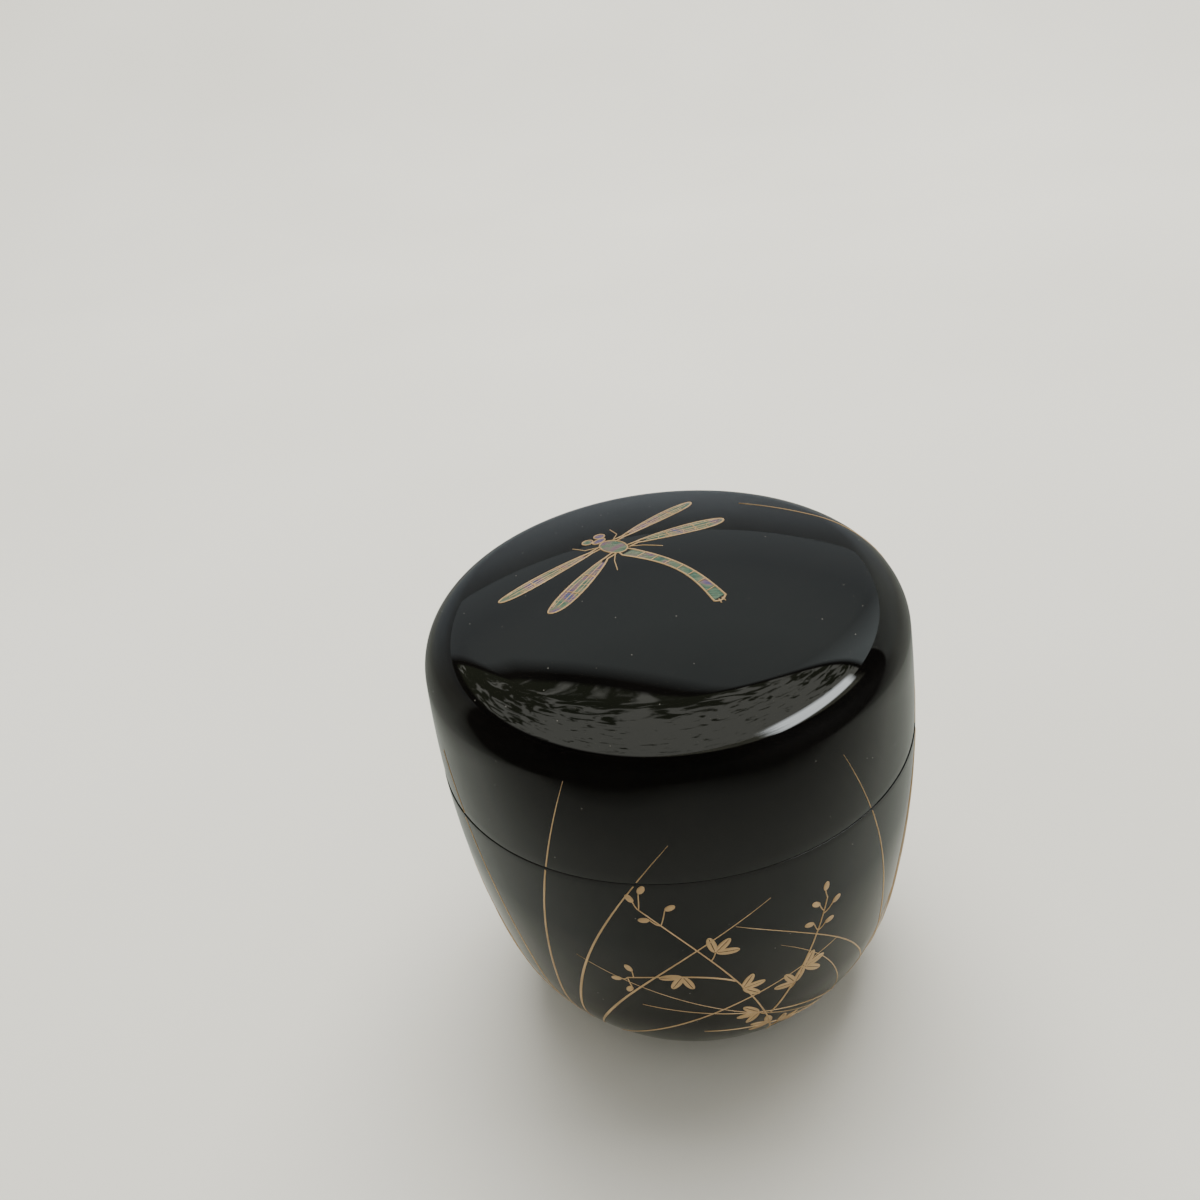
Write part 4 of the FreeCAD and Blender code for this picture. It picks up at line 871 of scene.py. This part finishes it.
def make_rod(name, rings):
    """A closed rod along the z axis, one unit long, cut into rings."""
    deselect_all()
    bpy.ops.mesh.primitive_cylinder_add(vertices=8, radius=0.5, depth=1.0, end_fill_type="NGON")
    rod = bpy.context.object
    rod.name = rod.data.name = name
    bpy.ops.object.mode_set(mode="EDIT")
    bpy.ops.mesh.select_all(action="DESELECT")
    bpy.ops.mesh.select_mode(type="EDGE")
    bpy.ops.object.mode_set(mode="OBJECT")
    for edge in rod.data.edges:
        low, high = (rod.data.vertices[index].co.z for index in edge.vertices)
        edge.select = abs(high - low) > 0.5
    bpy.ops.object.mode_set(mode="EDIT")
    bpy.ops.mesh.subdivide(number_cuts=rings - 2)
    bpy.ops.object.mode_set(mode="OBJECT")
    bpy.ops.object.shade_smooth()
    return rod


def copy_piece(source, name):
    """A copy of a piece with its own mesh."""
    piece = source.copy()
    piece.data = source.data.copy()
    piece.name = piece.data.name = name
    bpy.context.scene.collection.objects.link(piece)
    return piece


def lay_on_skin(piece, places, widths, height):
    """Carry a piece that runs along z onto places of the skin, at widths and a height in mm."""
    last = len(places) - 1
    for vertex in piece.data.vertices:
        share = min(max((vertex.co.z + 0.5) * last, 0.0), last)
        index = min(int(share), last - 1)
        part = share - index
        point = places[index][0].lerp(places[index + 1][0], part)
        facing = places[index][1].lerp(places[index + 1][1], part).normalized()
        ahead = places[min(index + 2, last)][0] - places[max(index - 1, 0)][0]
        side = facing.cross(ahead).normalized()
        width = widths[index] * (1 - part) + widths[index + 1] * part
        vertex.co = (point + side * vertex.co.x * width * MM
                     + facing * vertex.co.y * 2 * height * MM)


def join_pieces(pieces, name):
    """Join pieces into one object with a given name."""
    deselect_all()
    for piece in pieces:
        piece.select_set(True)
    bpy.context.view_layer.objects.active = pieces[0]
    bpy.ops.object.join()
    joined = bpy.context.object
    joined.name = joined.data.name = name
    print(name, "has", len(joined.data.polygons), "faces")
    return joined


line_rod = make_rod("line_rod", LINE_RINGS)
short_rod = make_rod("short_rod", SHORT_RINGS)
print("rod points:", len(line_rod.data.vertices))

# %% [markdown]
# ## Grass blades
#
# Long gold blades spring from a few places by the foot, fan out, and cross one another, some
# of them running over the seam and on up the lid. Each is drawn in one stroke: it swells from
# its root and thins out to the tip. Where a blade crosses the seam it stops short of the edge
# on each half, so that the lid still lifts and turns freely.

# %% Blade strokes
BLADE = 0.5
FINE_BLADE = 0.32
THIN_BLADE = 0.24
SEAM_GAP = 0.3
ROOT_WIDTH = 0.5
SWELL_REACH = 0.3
TIP_WIDTH = 0.12
TIP_POWER = 0.55
FOOT_WIDTH = 0.35
FOOT_REACH = 0.35


def bend(knots, share):
    """A point of the smooth bend through a root, a bend and a tip."""
    while len(knots) > 1:
        knots = [tuple(a + (b - a) * share for a, b in zip(first, second))
                 for first, second in zip(knots, knots[1:])]
    return knots[0]


def blade_swell(share):
    """The blade's width along its length: swelling from the root, fine at the tip."""
    swell = min(1.0, ROOT_WIDTH + (1 - ROOT_WIDTH) * share / SWELL_REACH)
    return max(TIP_WIDTH, swell * (1 - share) ** TIP_POWER)


def foot_fade(level):
    """How much of its width a stroke keeps, from the foot at -1 up to the belly."""
    return min(1.0, FOOT_WIDTH + (1 - FOOT_WIDTH) * (1 + level) / FOOT_REACH)


def seam_share(knots, length):
    """How far along a blade its length from the seam reaches a value."""
    low, high = 0.0, 1.0
    for halving in range(30):
        middle = (low + high) / 2
        if bend(knots, middle)[1] * SEAM < length:
            low = middle
        else:
            high = middle
    return low


def side_stroke(rod, name, knots, shares, widths, height):
    """A stroke on the side through shares of a bend, at widths and a height in millimetres."""
    stroke = copy_piece(rod, name)
    lay_on_skin(stroke, [side_place(bend(knots, share)) for share in shares], widths, height)
    return stroke


def blade_stroke(knots, start, end, width, height):
    """One stroke of a blade between two shares of its length."""
    shares = spread(start, end, LINE_RINGS)
    widths = [width * blade_swell(share) * foot_fade(bend(knots, share)[1]) for share in shares]
    return side_stroke(line_rod, "blade", knots, shares, widths, height)


# %% Blades of the clumps
LEFT_CLUMP = [[(-46, -1.00), (-46, -0.30), (-28, 0.34)], [(-44, -1.00), (-38, -0.35), (-8, 0.14)],
              [(-42, -1.00), (-31, -0.48), (12, -0.12)], [(-40, -1.00), (-22, -0.66), (30, -0.44)],
              [(-48, -1.00), (-53, -0.32), (-70, 0.20)], [(-50, -1.00), (-60, -0.52), (-88, -0.14)],
              [(-52, -1.00), (-68, -0.74), (-104, -0.56)]]
RIGHT_CLUMP = [[(46, -1.00), (31, -0.82), (-6, -0.74)], [(48, -1.00), (32, -0.70), (-20, -0.56)],
               [(50, -1.00), (44, -0.46), (4, -0.20)], [(52, -1.00), (52, -0.32), (32, 0.26)],
               [(54, -1.00), (58, 0.45), (140, 0.68)], [(56, -1.00), (66, 0.30), (128, 0.46)],
               [(58, -1.00), (66, -0.30), (96, 0.06)], [(60, -1.00), (74, -0.62), (108, -0.36)]]
BACK_CLUMP = [[(168, -1.00), (158, -0.52), (124, -0.18)], [(170, -1.00), (166, -0.30), (146, 0.22)],
              [(176, -1.00), (184, -0.30), (206, 0.16)], [(178, -1.00), (196, -0.55), (232, -0.20)]]
BACK_CROSSING = [[(218, -1.00), (208, -0.48), (170, -0.34)], [(216, -1.00), (196, -0.76), (156, -0.68)],
                 [(220, -1.00), (222, -0.35), (240, 0.10)]]
CROSSING = [[(42, -0.98), (20, -0.72), (-34, -0.36)], [(36, -0.98), (36, -0.55), (14, -0.34)],
            [(38, -0.98), (44, -0.62), (70, -0.40)], [(-42, -0.98), (-56, -0.62), (-84, -0.44)],
            [(172, -1.00), (148, -0.80), (112, -0.62)], [(174, -1.00), (196, -0.78), (244, -0.58)]]
CLUMPS = [(LEFT_CLUMP, BLADE, 1.0), (BACK_CLUMP, BLADE, 1.0), (CROSSING, THIN_BLADE, 0.8),
          (RIGHT_CLUMP, FINE_BLADE, 1.3), (BACK_CROSSING, FINE_BLADE, 1.3)]

body_strokes = []
lid_strokes = []
for clump, width, rise in CLUMPS:
    for knots in clump:
        crosses = knots[-1][1] > 0
        end = seam_share(knots, -SEAM_GAP) if crosses else 1.0
        body_strokes.append(blade_stroke(knots, 0.0, end, width, LINE_HEIGHT * rise))
        if crosses:
            start = seam_share(knots, SEAM_GAP)
            lid_strokes.append(blade_stroke(knots, start, 1.0, width, LINE_HEIGHT * rise))

body_blades = join_pieces(body_strokes, "body_gold_grass")
dress(body_blades, gold_powder)
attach(body_blades, "body")
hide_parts("body_gold_blades", "body_gold_blades_over")

lid_blades = join_pieces(lid_strokes, "lid_gold_grass")
dress(lid_blades, gold_powder)
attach(lid_blades, "lid")
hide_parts("lid_gold_blades")

# %% [markdown]
# ## The sprig of bush clover
#
# In front of the grass stands one sprig: arching stems, small leaves in threes and drop-shaped
# blossoms near the tips. A leaf begins as a ball, drawn out to points and pressed flat, with
# its midrib pressed in. It is made once and copied for every leaf.

# %% Sprig stems
STEM_WIDTH = 0.3
STALK_WIDTH = 0.16
STEM_RISE = 1.7
STALK_RISE = 1.4
STALK_DROP = 0.03
STALK_SAG = 0.01
STEMS = [[(14, -0.98), (13, -0.52), (-16, -0.10)], [(11.6, -0.69), (22, -0.48), (26, -0.22)],
         [(2.9, -0.452), (-6, -0.37), (-22, -0.42)]]
LEAF_GROUPS = [(15.5, -0.82, 60), (12.0, -0.78, -62), (20.5, -0.50, 75), (18.0, -0.56, -30),
               (4.5, -0.50, 80), (-1.0, -0.30, 40), (-9.0, -0.40, -150), (8.5, -0.66, -95)]
BLOSSOMS = [(25.5, -0.19, 10), (24.0, -0.24, -50), (27.5, -0.26, 60), (-17.0, -0.07, -30),
            (-14.0, -0.14, -95), (-15.5, -0.035, 30), (-23.5, -0.43, -100), (-20.5, -0.385, -30),
            (-21.5, -0.465, -150), (-10.5, -0.10, 60), (22.5, -0.31, -70), (25.5, -0.33, 80)]


def nearest_on_stems(knot):
    """The place on the sprig's stems that is nearest to a place, as an angle and a share."""
    target = side_place(knot)[0]
    spots = [bend(knots, share) for knots in STEMS for share in spread(0.0, 1.0, 41)]
    return min(spots, key=lambda spot: (side_place(spot)[0] - target).length)


stem_strokes = []
for knots in STEMS:
    shares = spread(0.0, 1.0, LINE_RINGS)
    widths = [STEM_WIDTH * (1 - share / 2) for share in shares]
    stem_strokes.append(side_stroke(line_rod, "stem", knots, shares, widths, LINE_HEIGHT * STEM_RISE))
for angle, share, heading in LEAF_GROUPS + BLOSSOMS:
    root = nearest_on_stems((angle, share - STALK_DROP))
    if (side_place(root)[0] - side_place((angle, share))[0]).length > STEM_WIDTH * MM:
        middle = ((root[0] + angle) / 2, (root[1] + share) / 2 - STALK_SAG)
        stem_strokes.append(side_stroke(short_rod, "stalk", [root, middle, (angle, share)],
                                        spread(0.0, 1.0, SHORT_RINGS), [STALK_WIDTH] * SHORT_RINGS,
                                        LINE_HEIGHT * STALK_RISE))
stems = join_pieces(stem_strokes, "sprig_stems")
dress(stems, gold_powder)
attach(stems, "body")
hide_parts("clover_stems")

# %% Leaf and blossom shapes
LEAF_LENGTH = 3.0
LEAF_WIDTH = 1.2
LEAF_START = 0.1
LEAF_RISE = 2.0
LEAF_RIB = -0.3
LEAFLET_TURNS = (-52, 0, 52)
BLOSSOM_LENGTH = 1.5
BLOSSOM_WIDTH = 0.9
BLOSSOM_RISE = 2.4


def make_patch(name, segments, rings, rib):
    """A ball one unit wide, along z, with a rib pressed in along its back."""
    deselect_all()
    bpy.ops.mesh.primitive_uv_sphere_add(segments=segments, ring_count=rings, radius=0.5)
    patch = bpy.context.object
    patch.name = patch.data.name = name
    bpy.ops.object.mode_set(mode="EDIT")
    bpy.ops.mesh.select_all(action="DESELECT")
    bpy.ops.mesh.select_mode(type="VERT")
    bpy.ops.object.mode_set(mode="OBJECT")
    for vertex in patch.data.vertices:
        vertex.select = abs(vertex.co.x) < 0.02 and vertex.co.y > 0.15
    bpy.ops.object.mode_set(mode="EDIT")
    bpy.ops.transform.resize(value=(1.0, rib, 1.0), center_override=(0.0, 0.0, 0.0))
    bpy.ops.object.mode_set(mode="OBJECT")
    bpy.ops.object.shade_smooth()
    return patch


leaf_patch = make_patch("leaf_patch", 16, 12, LEAF_RIB)
drop_patch = make_patch("drop_patch", 12, 8, 1.0)


def spray_piece(source, angle, share, heading, length, width, height, start):
    """A leaf or blossom on the skin that heads a way, 0 being up the caddy."""
    point = side_place((angle, share))[0]
    reach = math.hypot(point.x, point.y) / MM
    turn_angle = math.radians(heading)
    places = [side_place((angle + math.degrees(run * math.sin(turn_angle) / reach),
                          share + run * math.cos(turn_angle) / SEAM))
              for run in spread(start, start + length, 7)]
    piece = copy_piece(source, "spray")
    lay_on_skin(piece, places, [width] * len(places), height)
    return piece


print("leaf and drop points:", len(leaf_patch.data.vertices), len(drop_patch.data.vertices))

# %% Leaves and blossoms
leaf_pieces = [spray_piece(leaf_patch, angle, share, heading + turned, LEAF_LENGTH, LEAF_WIDTH,
                           LINE_HEIGHT * LEAF_RISE, LEAF_START)
               for angle, share, heading in LEAF_GROUPS for turned in LEAFLET_TURNS]
leaves = join_pieces(leaf_pieces, "sprig_leaves")
dress(leaves, gold_powder)
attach(leaves, "body")
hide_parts("clover_leaves")

blossom_pieces = [spray_piece(drop_patch, angle, share, heading, BLOSSOM_LENGTH, BLOSSOM_WIDTH,
                              LINE_HEIGHT * BLOSSOM_RISE, 0.0) for angle, share, heading in BLOSSOMS]
blossoms = join_pieces(blossom_pieces, "sprig_blossoms")
dress(blossoms, gold_powder)
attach(blossoms, "body")
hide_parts("clover_blossoms")

# %% [markdown]
# ## The dragonfly
#
# The dragonfly is inlay: thin shell chips let into the lacquer and divided by gold veins. Its
# places are shares of its length, to its right and forwards, so the whole insect can be turned
# on the lid at once. A chip begins as a grid, takes the wing's curved outline, and gets a wall
# and a fine bevel, so that its edges catch the light.

# %% Dragonfly places
DRAGONFLY_LENGTH = 25.0
DRAGONFLY_SPOT = (-0.06, 0.06)
DRAGONFLY_HEADING = math.radians(35)
FORE_WING = {"root": (0.10, 0.29), "length": 0.60, "width": 0.072, "sweep": math.radians(8)}
HIND_WING = {"root": (0.10, 0.17), "length": 0.54, "width": 0.092, "sweep": math.radians(-16)}
ABDOMEN = {"root": 0.115, "length": 0.70, "half_width": 0.034, "waist": 0.35, "bow": 0.06}
LEADING_SHARE = 0.45
WING_ROOT_SHARE = 0.45


def dragonfly_place(right, forwards):
    """A place on the lid, given as shares of the dragonfly's length."""
    sine, cosine = math.sin(DRAGONFLY_HEADING), math.cos(DRAGONFLY_HEADING)
    across = DRAGONFLY_SPOT[0] + right * cosine - forwards * sine
    back = DRAGONFLY_SPOT[1] + right * sine + forwards * cosine
    return top_place(across * DRAGONFLY_LENGTH, back * DRAGONFLY_LENGTH)


def wing_reach(wing, along, edge):
    """How far a wing reaches from its middle line towards one edge."""
    swell = math.sqrt(max(0.0, 1 - (2 * along - 1) ** 2)) * (WING_ROOT_SHARE + (1 - WING_ROOT_SHARE) * along)
    return swell * wing["width"] * (LEADING_SHARE if edge > 0 else 1.0)


def wing_place(wing, side, along, edge):
    """A place in a wing: along from root to tip, edge from 1 leading to -1 trailing."""
    aside = edge * wing_reach(wing, along, edge)
    out = along * wing["length"] * math.cos(wing["sweep"]) - aside * math.sin(wing["sweep"])
    forwards = along * wing["length"] * math.sin(wing["sweep"]) + aside * math.cos(wing["sweep"])
    return dragonfly_place(side * (wing["root"][0] + out), wing["root"][1] + forwards)


def abdomen_place(along, edge):
    """A place on the abdomen: along from its root to its tip, edge from -1 to 1 across it."""
    arch = math.sin(math.pi * along)
    half_width = ABDOMEN["half_width"] * (1 - ABDOMEN["waist"] * arch)
    return dragonfly_place(ABDOMEN["bow"] * arch + edge * half_width,
                           ABDOMEN["root"] - along * ABDOMEN["length"])


# %% Shell chips
CHIP_GAP = 0.24
CHIP_RISE = 0.03
CHIP_DEPTH = 0.15
CHIP_BEVEL = 0.02
CHIP_CREASE = math.radians(50)
WING_SPLITS = (0.10, 0.36, 0.66, 1.0)
WING_STOP = 0.995


def shell_chip(start, end, place_at):
    """A chip between two shares of a wing or abdomen, with a wall and a bevelled edge."""
    deselect_all()
    bpy.ops.mesh.primitive_grid_add(x_subdivisions=10, y_subdivisions=6, size=2.0)
    chip = bpy.context.object
    chip.name = chip.data.name = "chip"
    for vertex in chip.data.vertices:
        along = start + (end - start) * (vertex.co.x + 1) / 2
        point, facing = place_at(along, vertex.co.y)
        cushion = (1 - vertex.co.x ** 4) * (1 - vertex.co.y ** 4)
        vertex.co = point + facing * (CHIP_RISE * (0.6 + 0.8 * cushion)) * MM
    bpy.ops.object.mode_set(mode="EDIT")
    bpy.ops.mesh.select_all(action="SELECT")
    bpy.ops.mesh.remove_doubles(threshold=MERGE_REACH)
    bpy.ops.object.mode_set(mode="OBJECT")
    if chip.data.polygons[0].normal.z < 0:
        bpy.ops.object.mode_set(mode="EDIT")
        bpy.ops.mesh.flip_normals()
        bpy.ops.object.mode_set(mode="OBJECT")
    wall = chip.modifiers.new("wall", "SOLIDIFY")
    wall.thickness = CHIP_DEPTH * MM
    wall.offset = -1.0
    bpy.ops.object.modifier_apply(modifier=wall.name)
    soft = chip.modifiers.new("soft edge", "BEVEL")
    soft.width = CHIP_BEVEL * MM
    soft.segments = 2
    soft.limit_method = "ANGLE"
    bpy.ops.object.modifier_apply(modifier=soft.name)
    bpy.ops.object.shade_smooth_by_angle(angle=CHIP_CREASE)
    return chip


def finish_shell(piece, node):
    """Dress a shell piece and let it stand for its node."""
    dress(piece, sea_shell)
    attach(piece, "lid")
    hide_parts(node)


for wing, wing_name in ((FORE_WING, "fore"), (HIND_WING, "hind")):
    for side, side_name in ((-1, "left"), (1, "right")):
        gap = CHIP_GAP / DRAGONFLY_LENGTH / wing["length"]
        chips = []
        for start, end in zip(WING_SPLITS, WING_SPLITS[1:]):
            stop = WING_STOP if end == 1.0 else end - gap
            chips.append(shell_chip(start, stop,
                                    lambda along, edge: wing_place(wing, side, along, edge)))
        shell = join_pieces(chips, f"{side_name}_{wing_name}_wing_inlay")
        finish_shell(shell, f"{side_name}_{wing_name}_wing_shell")

# %% Abdomen, thorax, head and eyes
ABDOMEN_CHIPS = 8
OVAL_HEIGHT = 0.07
abdomen_gap = CHIP_GAP / DRAGONFLY_LENGTH / ABDOMEN["length"]
chips = [shell_chip(number / ABDOMEN_CHIPS, (number + 1) / ABDOMEN_CHIPS - abdomen_gap, abdomen_place)
         for number in range(ABDOMEN_CHIPS)]
finish_shell(join_pieces(chips, "abdomen_inlay"), "abdomen_shell")


def shell_oval(name, centre, half_width, half_length):
    """A domed oval of shell, pressed from a ball."""
    oval = copy_piece(drop_patch, name)
    places = [dragonfly_place(centre[0], centre[1] + half_length * run) for run in spread(-1.0, 1.0, 7)]
    lay_on_skin(oval, places, [half_width * 2 * DRAGONFLY_LENGTH] * len(places), OVAL_HEIGHT)
    return oval


THORAX = {"centre": (0.0, 0.235), "half_width": 0.062, "half_length": 0.095}
HEAD = {"centre": (0.0, 0.362), "half_width": 0.040, "half_length": 0.024}
EYES = [{"centre": (side * 0.042, 0.412), "half_width": 0.030, "half_length": 0.030} for side in (-1, 1)]
finish_shell(shell_oval("thorax_inlay", **THORAX), "thorax_shell")
finish_shell(shell_oval("head_inlay", **HEAD), "head_shell")
finish_shell(join_pieces([shell_oval("eye", **eye) for eye in EYES], "eye_inlay"), "eye_shell")

# %% Gold outlines
OUTLINE_WIDTH = 0.28
RING_WIDTH = 0.22
VEIN_WIDTH = 0.18
FINE_VEIN_WIDTH = 0.11
OUTLINE_HEIGHT = 0.08
MARK_HEIGHT = 0.09
RING_HEIGHT = 0.1
FINE_HEIGHT = 0.07
RING_SHARE = 0.52
SHOULDER = 0.047


def lid_line(source, places, width, height):
    """A line of one width through places on the lid."""
    line = copy_piece(source, "line")
    lay_on_skin(line, places, [width] * len(places), height)
    return line


def half_rings(centre, half_width, half_length):
    """Two half rings of gold round an oval of the dragonfly."""
    halves = []
    for start in (0.0, 0.5):
        turns = [math.tau * share for share in spread(start, start + RING_SHARE, SHORT_RINGS)]
        places = [dragonfly_place(centre[0] + half_width * math.sin(turned),
                                  centre[1] + half_length * math.cos(turned)) for turned in turns]
        halves.append(lid_line(short_rod, places, RING_WIDTH, RING_HEIGHT))
    return halves


WINGS = [(wing, side) for wing in (FORE_WING, HIND_WING) for side in (-1, 1)]
outline_pieces = []
for wing, side in WINGS:
    turns = [math.pi * share for share in spread(0.10, 1.90, LINE_RINGS)]
    places = [wing_place(wing, side, (1 - math.cos(turned)) / 2, 1 if turned < math.pi else -1)
              for turned in turns]
    roots = [dragonfly_place(side * SHOULDER, wing["root"][1] + edge * 0.014) for edge in (1, -1)]
    outline_pieces.append(lid_line(line_rod, [roots[0]] + places + [roots[1]], OUTLINE_WIDTH,
                                   OUTLINE_HEIGHT))
    mark = [wing_place(wing, side, along, 0.72) for along in spread(0.84, 0.91, 5)]
    outline_pieces.append(lid_line(short_rod, mark, OUTLINE_WIDTH, MARK_HEIGHT))
clear = 1 + OUTLINE_WIDTH / DRAGONFLY_LENGTH / ABDOMEN["half_width"] / 2
for side in (-1, 1):
    waist = dragonfly_place(side * 0.028, 0.150)
    places = [abdomen_place(along, side * clear) for along in spread(0.0, 1.0, 17)]
    outline_pieces.append(lid_line(line_rod, [waist] + places, OUTLINE_WIDTH, OUTLINE_HEIGHT))
    tail = [abdomen_place(along, side * edge)
            for along, edge in zip(spread(1.0, 1.045, 5), spread(0.3, 0.4, 5))]
    outline_pieces.append(lid_line(short_rod, tail, VEIN_WIDTH, OUTLINE_HEIGHT))
places = [abdomen_place(1.0 + 0.02 * math.cos(edge * math.pi / 2), edge)
          for edge in spread(clear, -clear, SHORT_RINGS)]
outline_pieces.append(lid_line(short_rod, places, OUTLINE_WIDTH, OUTLINE_HEIGHT))
for oval in (THORAX, HEAD, *EYES):
    outline_pieces += half_rings(**oval)
outlines = join_pieces(outline_pieces, "dragonfly_gold_outlines")
dress(outlines, gold_powder)
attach(outlines, "lid")
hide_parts("dragonfly_outlines")

# %% Gold veins
CELLS = 6
LONG_VEINS = [(-0.35, 0.12, 0.90, VEIN_WIDTH), (0.25, 0.08, 0.94, FINE_VEIN_WIDTH),
              (-0.70, 0.30, 0.80, FINE_VEIN_WIDTH)]
vein_pieces = []
for wing, side in WINGS:
    half_gap = CHIP_GAP / DRAGONFLY_LENGTH / wing["length"] / 2
    for share in WING_SPLITS[1:-1]:
        places = [wing_place(wing, side, share - half_gap, edge) for edge in spread(0.92, -0.92, 9)]
        vein_pieces.append(lid_line(short_rod, places, VEIN_WIDTH, OUTLINE_HEIGHT))
    for edge, start, end, width in LONG_VEINS:
        places = [wing_place(wing, side, along, edge) for along in spread(start, end, SHORT_RINGS)]
        vein_pieces.append(lid_line(short_rod, places, width, OUTLINE_HEIGHT))
    for number in range(1, CELLS):
        share = 0.12 + 0.80 * number / CELLS
        shifted = share + (0.02 if number % 2 else 0.0)
        places = [wing_place(wing, side, shifted, edge) for edge in spread(0.25, 0.95, 5)]
        vein_pieces.append(lid_line(short_rod, places, FINE_VEIN_WIDTH, FINE_HEIGHT))
        places = [wing_place(wing, side, along, edge)
                  for along, edge in zip(spread(share, share - 0.03, 5), spread(-0.35, -0.95, 5))]
        vein_pieces.append(lid_line(short_rod, places, FINE_VEIN_WIDTH, FINE_HEIGHT))
for number in range(1, ABDOMEN_CHIPS):
    places = [abdomen_place(number / ABDOMEN_CHIPS - abdomen_gap / 2, edge) for edge in spread(1.0, -1.0, 9)]
    vein_pieces.append(lid_line(short_rod, places, FINE_VEIN_WIDTH, OUTLINE_HEIGHT))
veins = join_pieces(vein_pieces, "dragonfly_gold_veins")
dress(veins, gold_powder)
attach(veins, "lid")
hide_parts("dragonfly_veins")

# %% Legs
LEG_WIDTH = 0.14
LEGS = [[(0.050, 0.30), (0.115, 0.345), (0.135, 0.430)], [(0.045, 0.165), (0.105, 0.100), (0.160, 0.010)]]
leg_pieces = []
for side in (-1, 1):
    for knots in LEGS:
        places = []
        for low, high in zip(knots, knots[1:]):
            for step in range(6):
                spot = [a + (b - a) * step / 6 for a, b in zip(low, high)]
                places.append(dragonfly_place(side * spot[0], spot[1]))
        places.append(dragonfly_place(side * knots[-1][0], knots[-1][1]))
        leg_pieces.append(lid_line(short_rod, places, LEG_WIDTH, FINE_HEIGHT))
legs = join_pieces(leg_pieces, "dragonfly_gold_legs")
dress(legs, gold_powder)
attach(legs, "lid")

# %% Put away the patterns
for source in (line_rod, short_rod, leaf_patch, drop_patch):
    bpy.data.objects.remove(source)
print("pattern pieces removed")
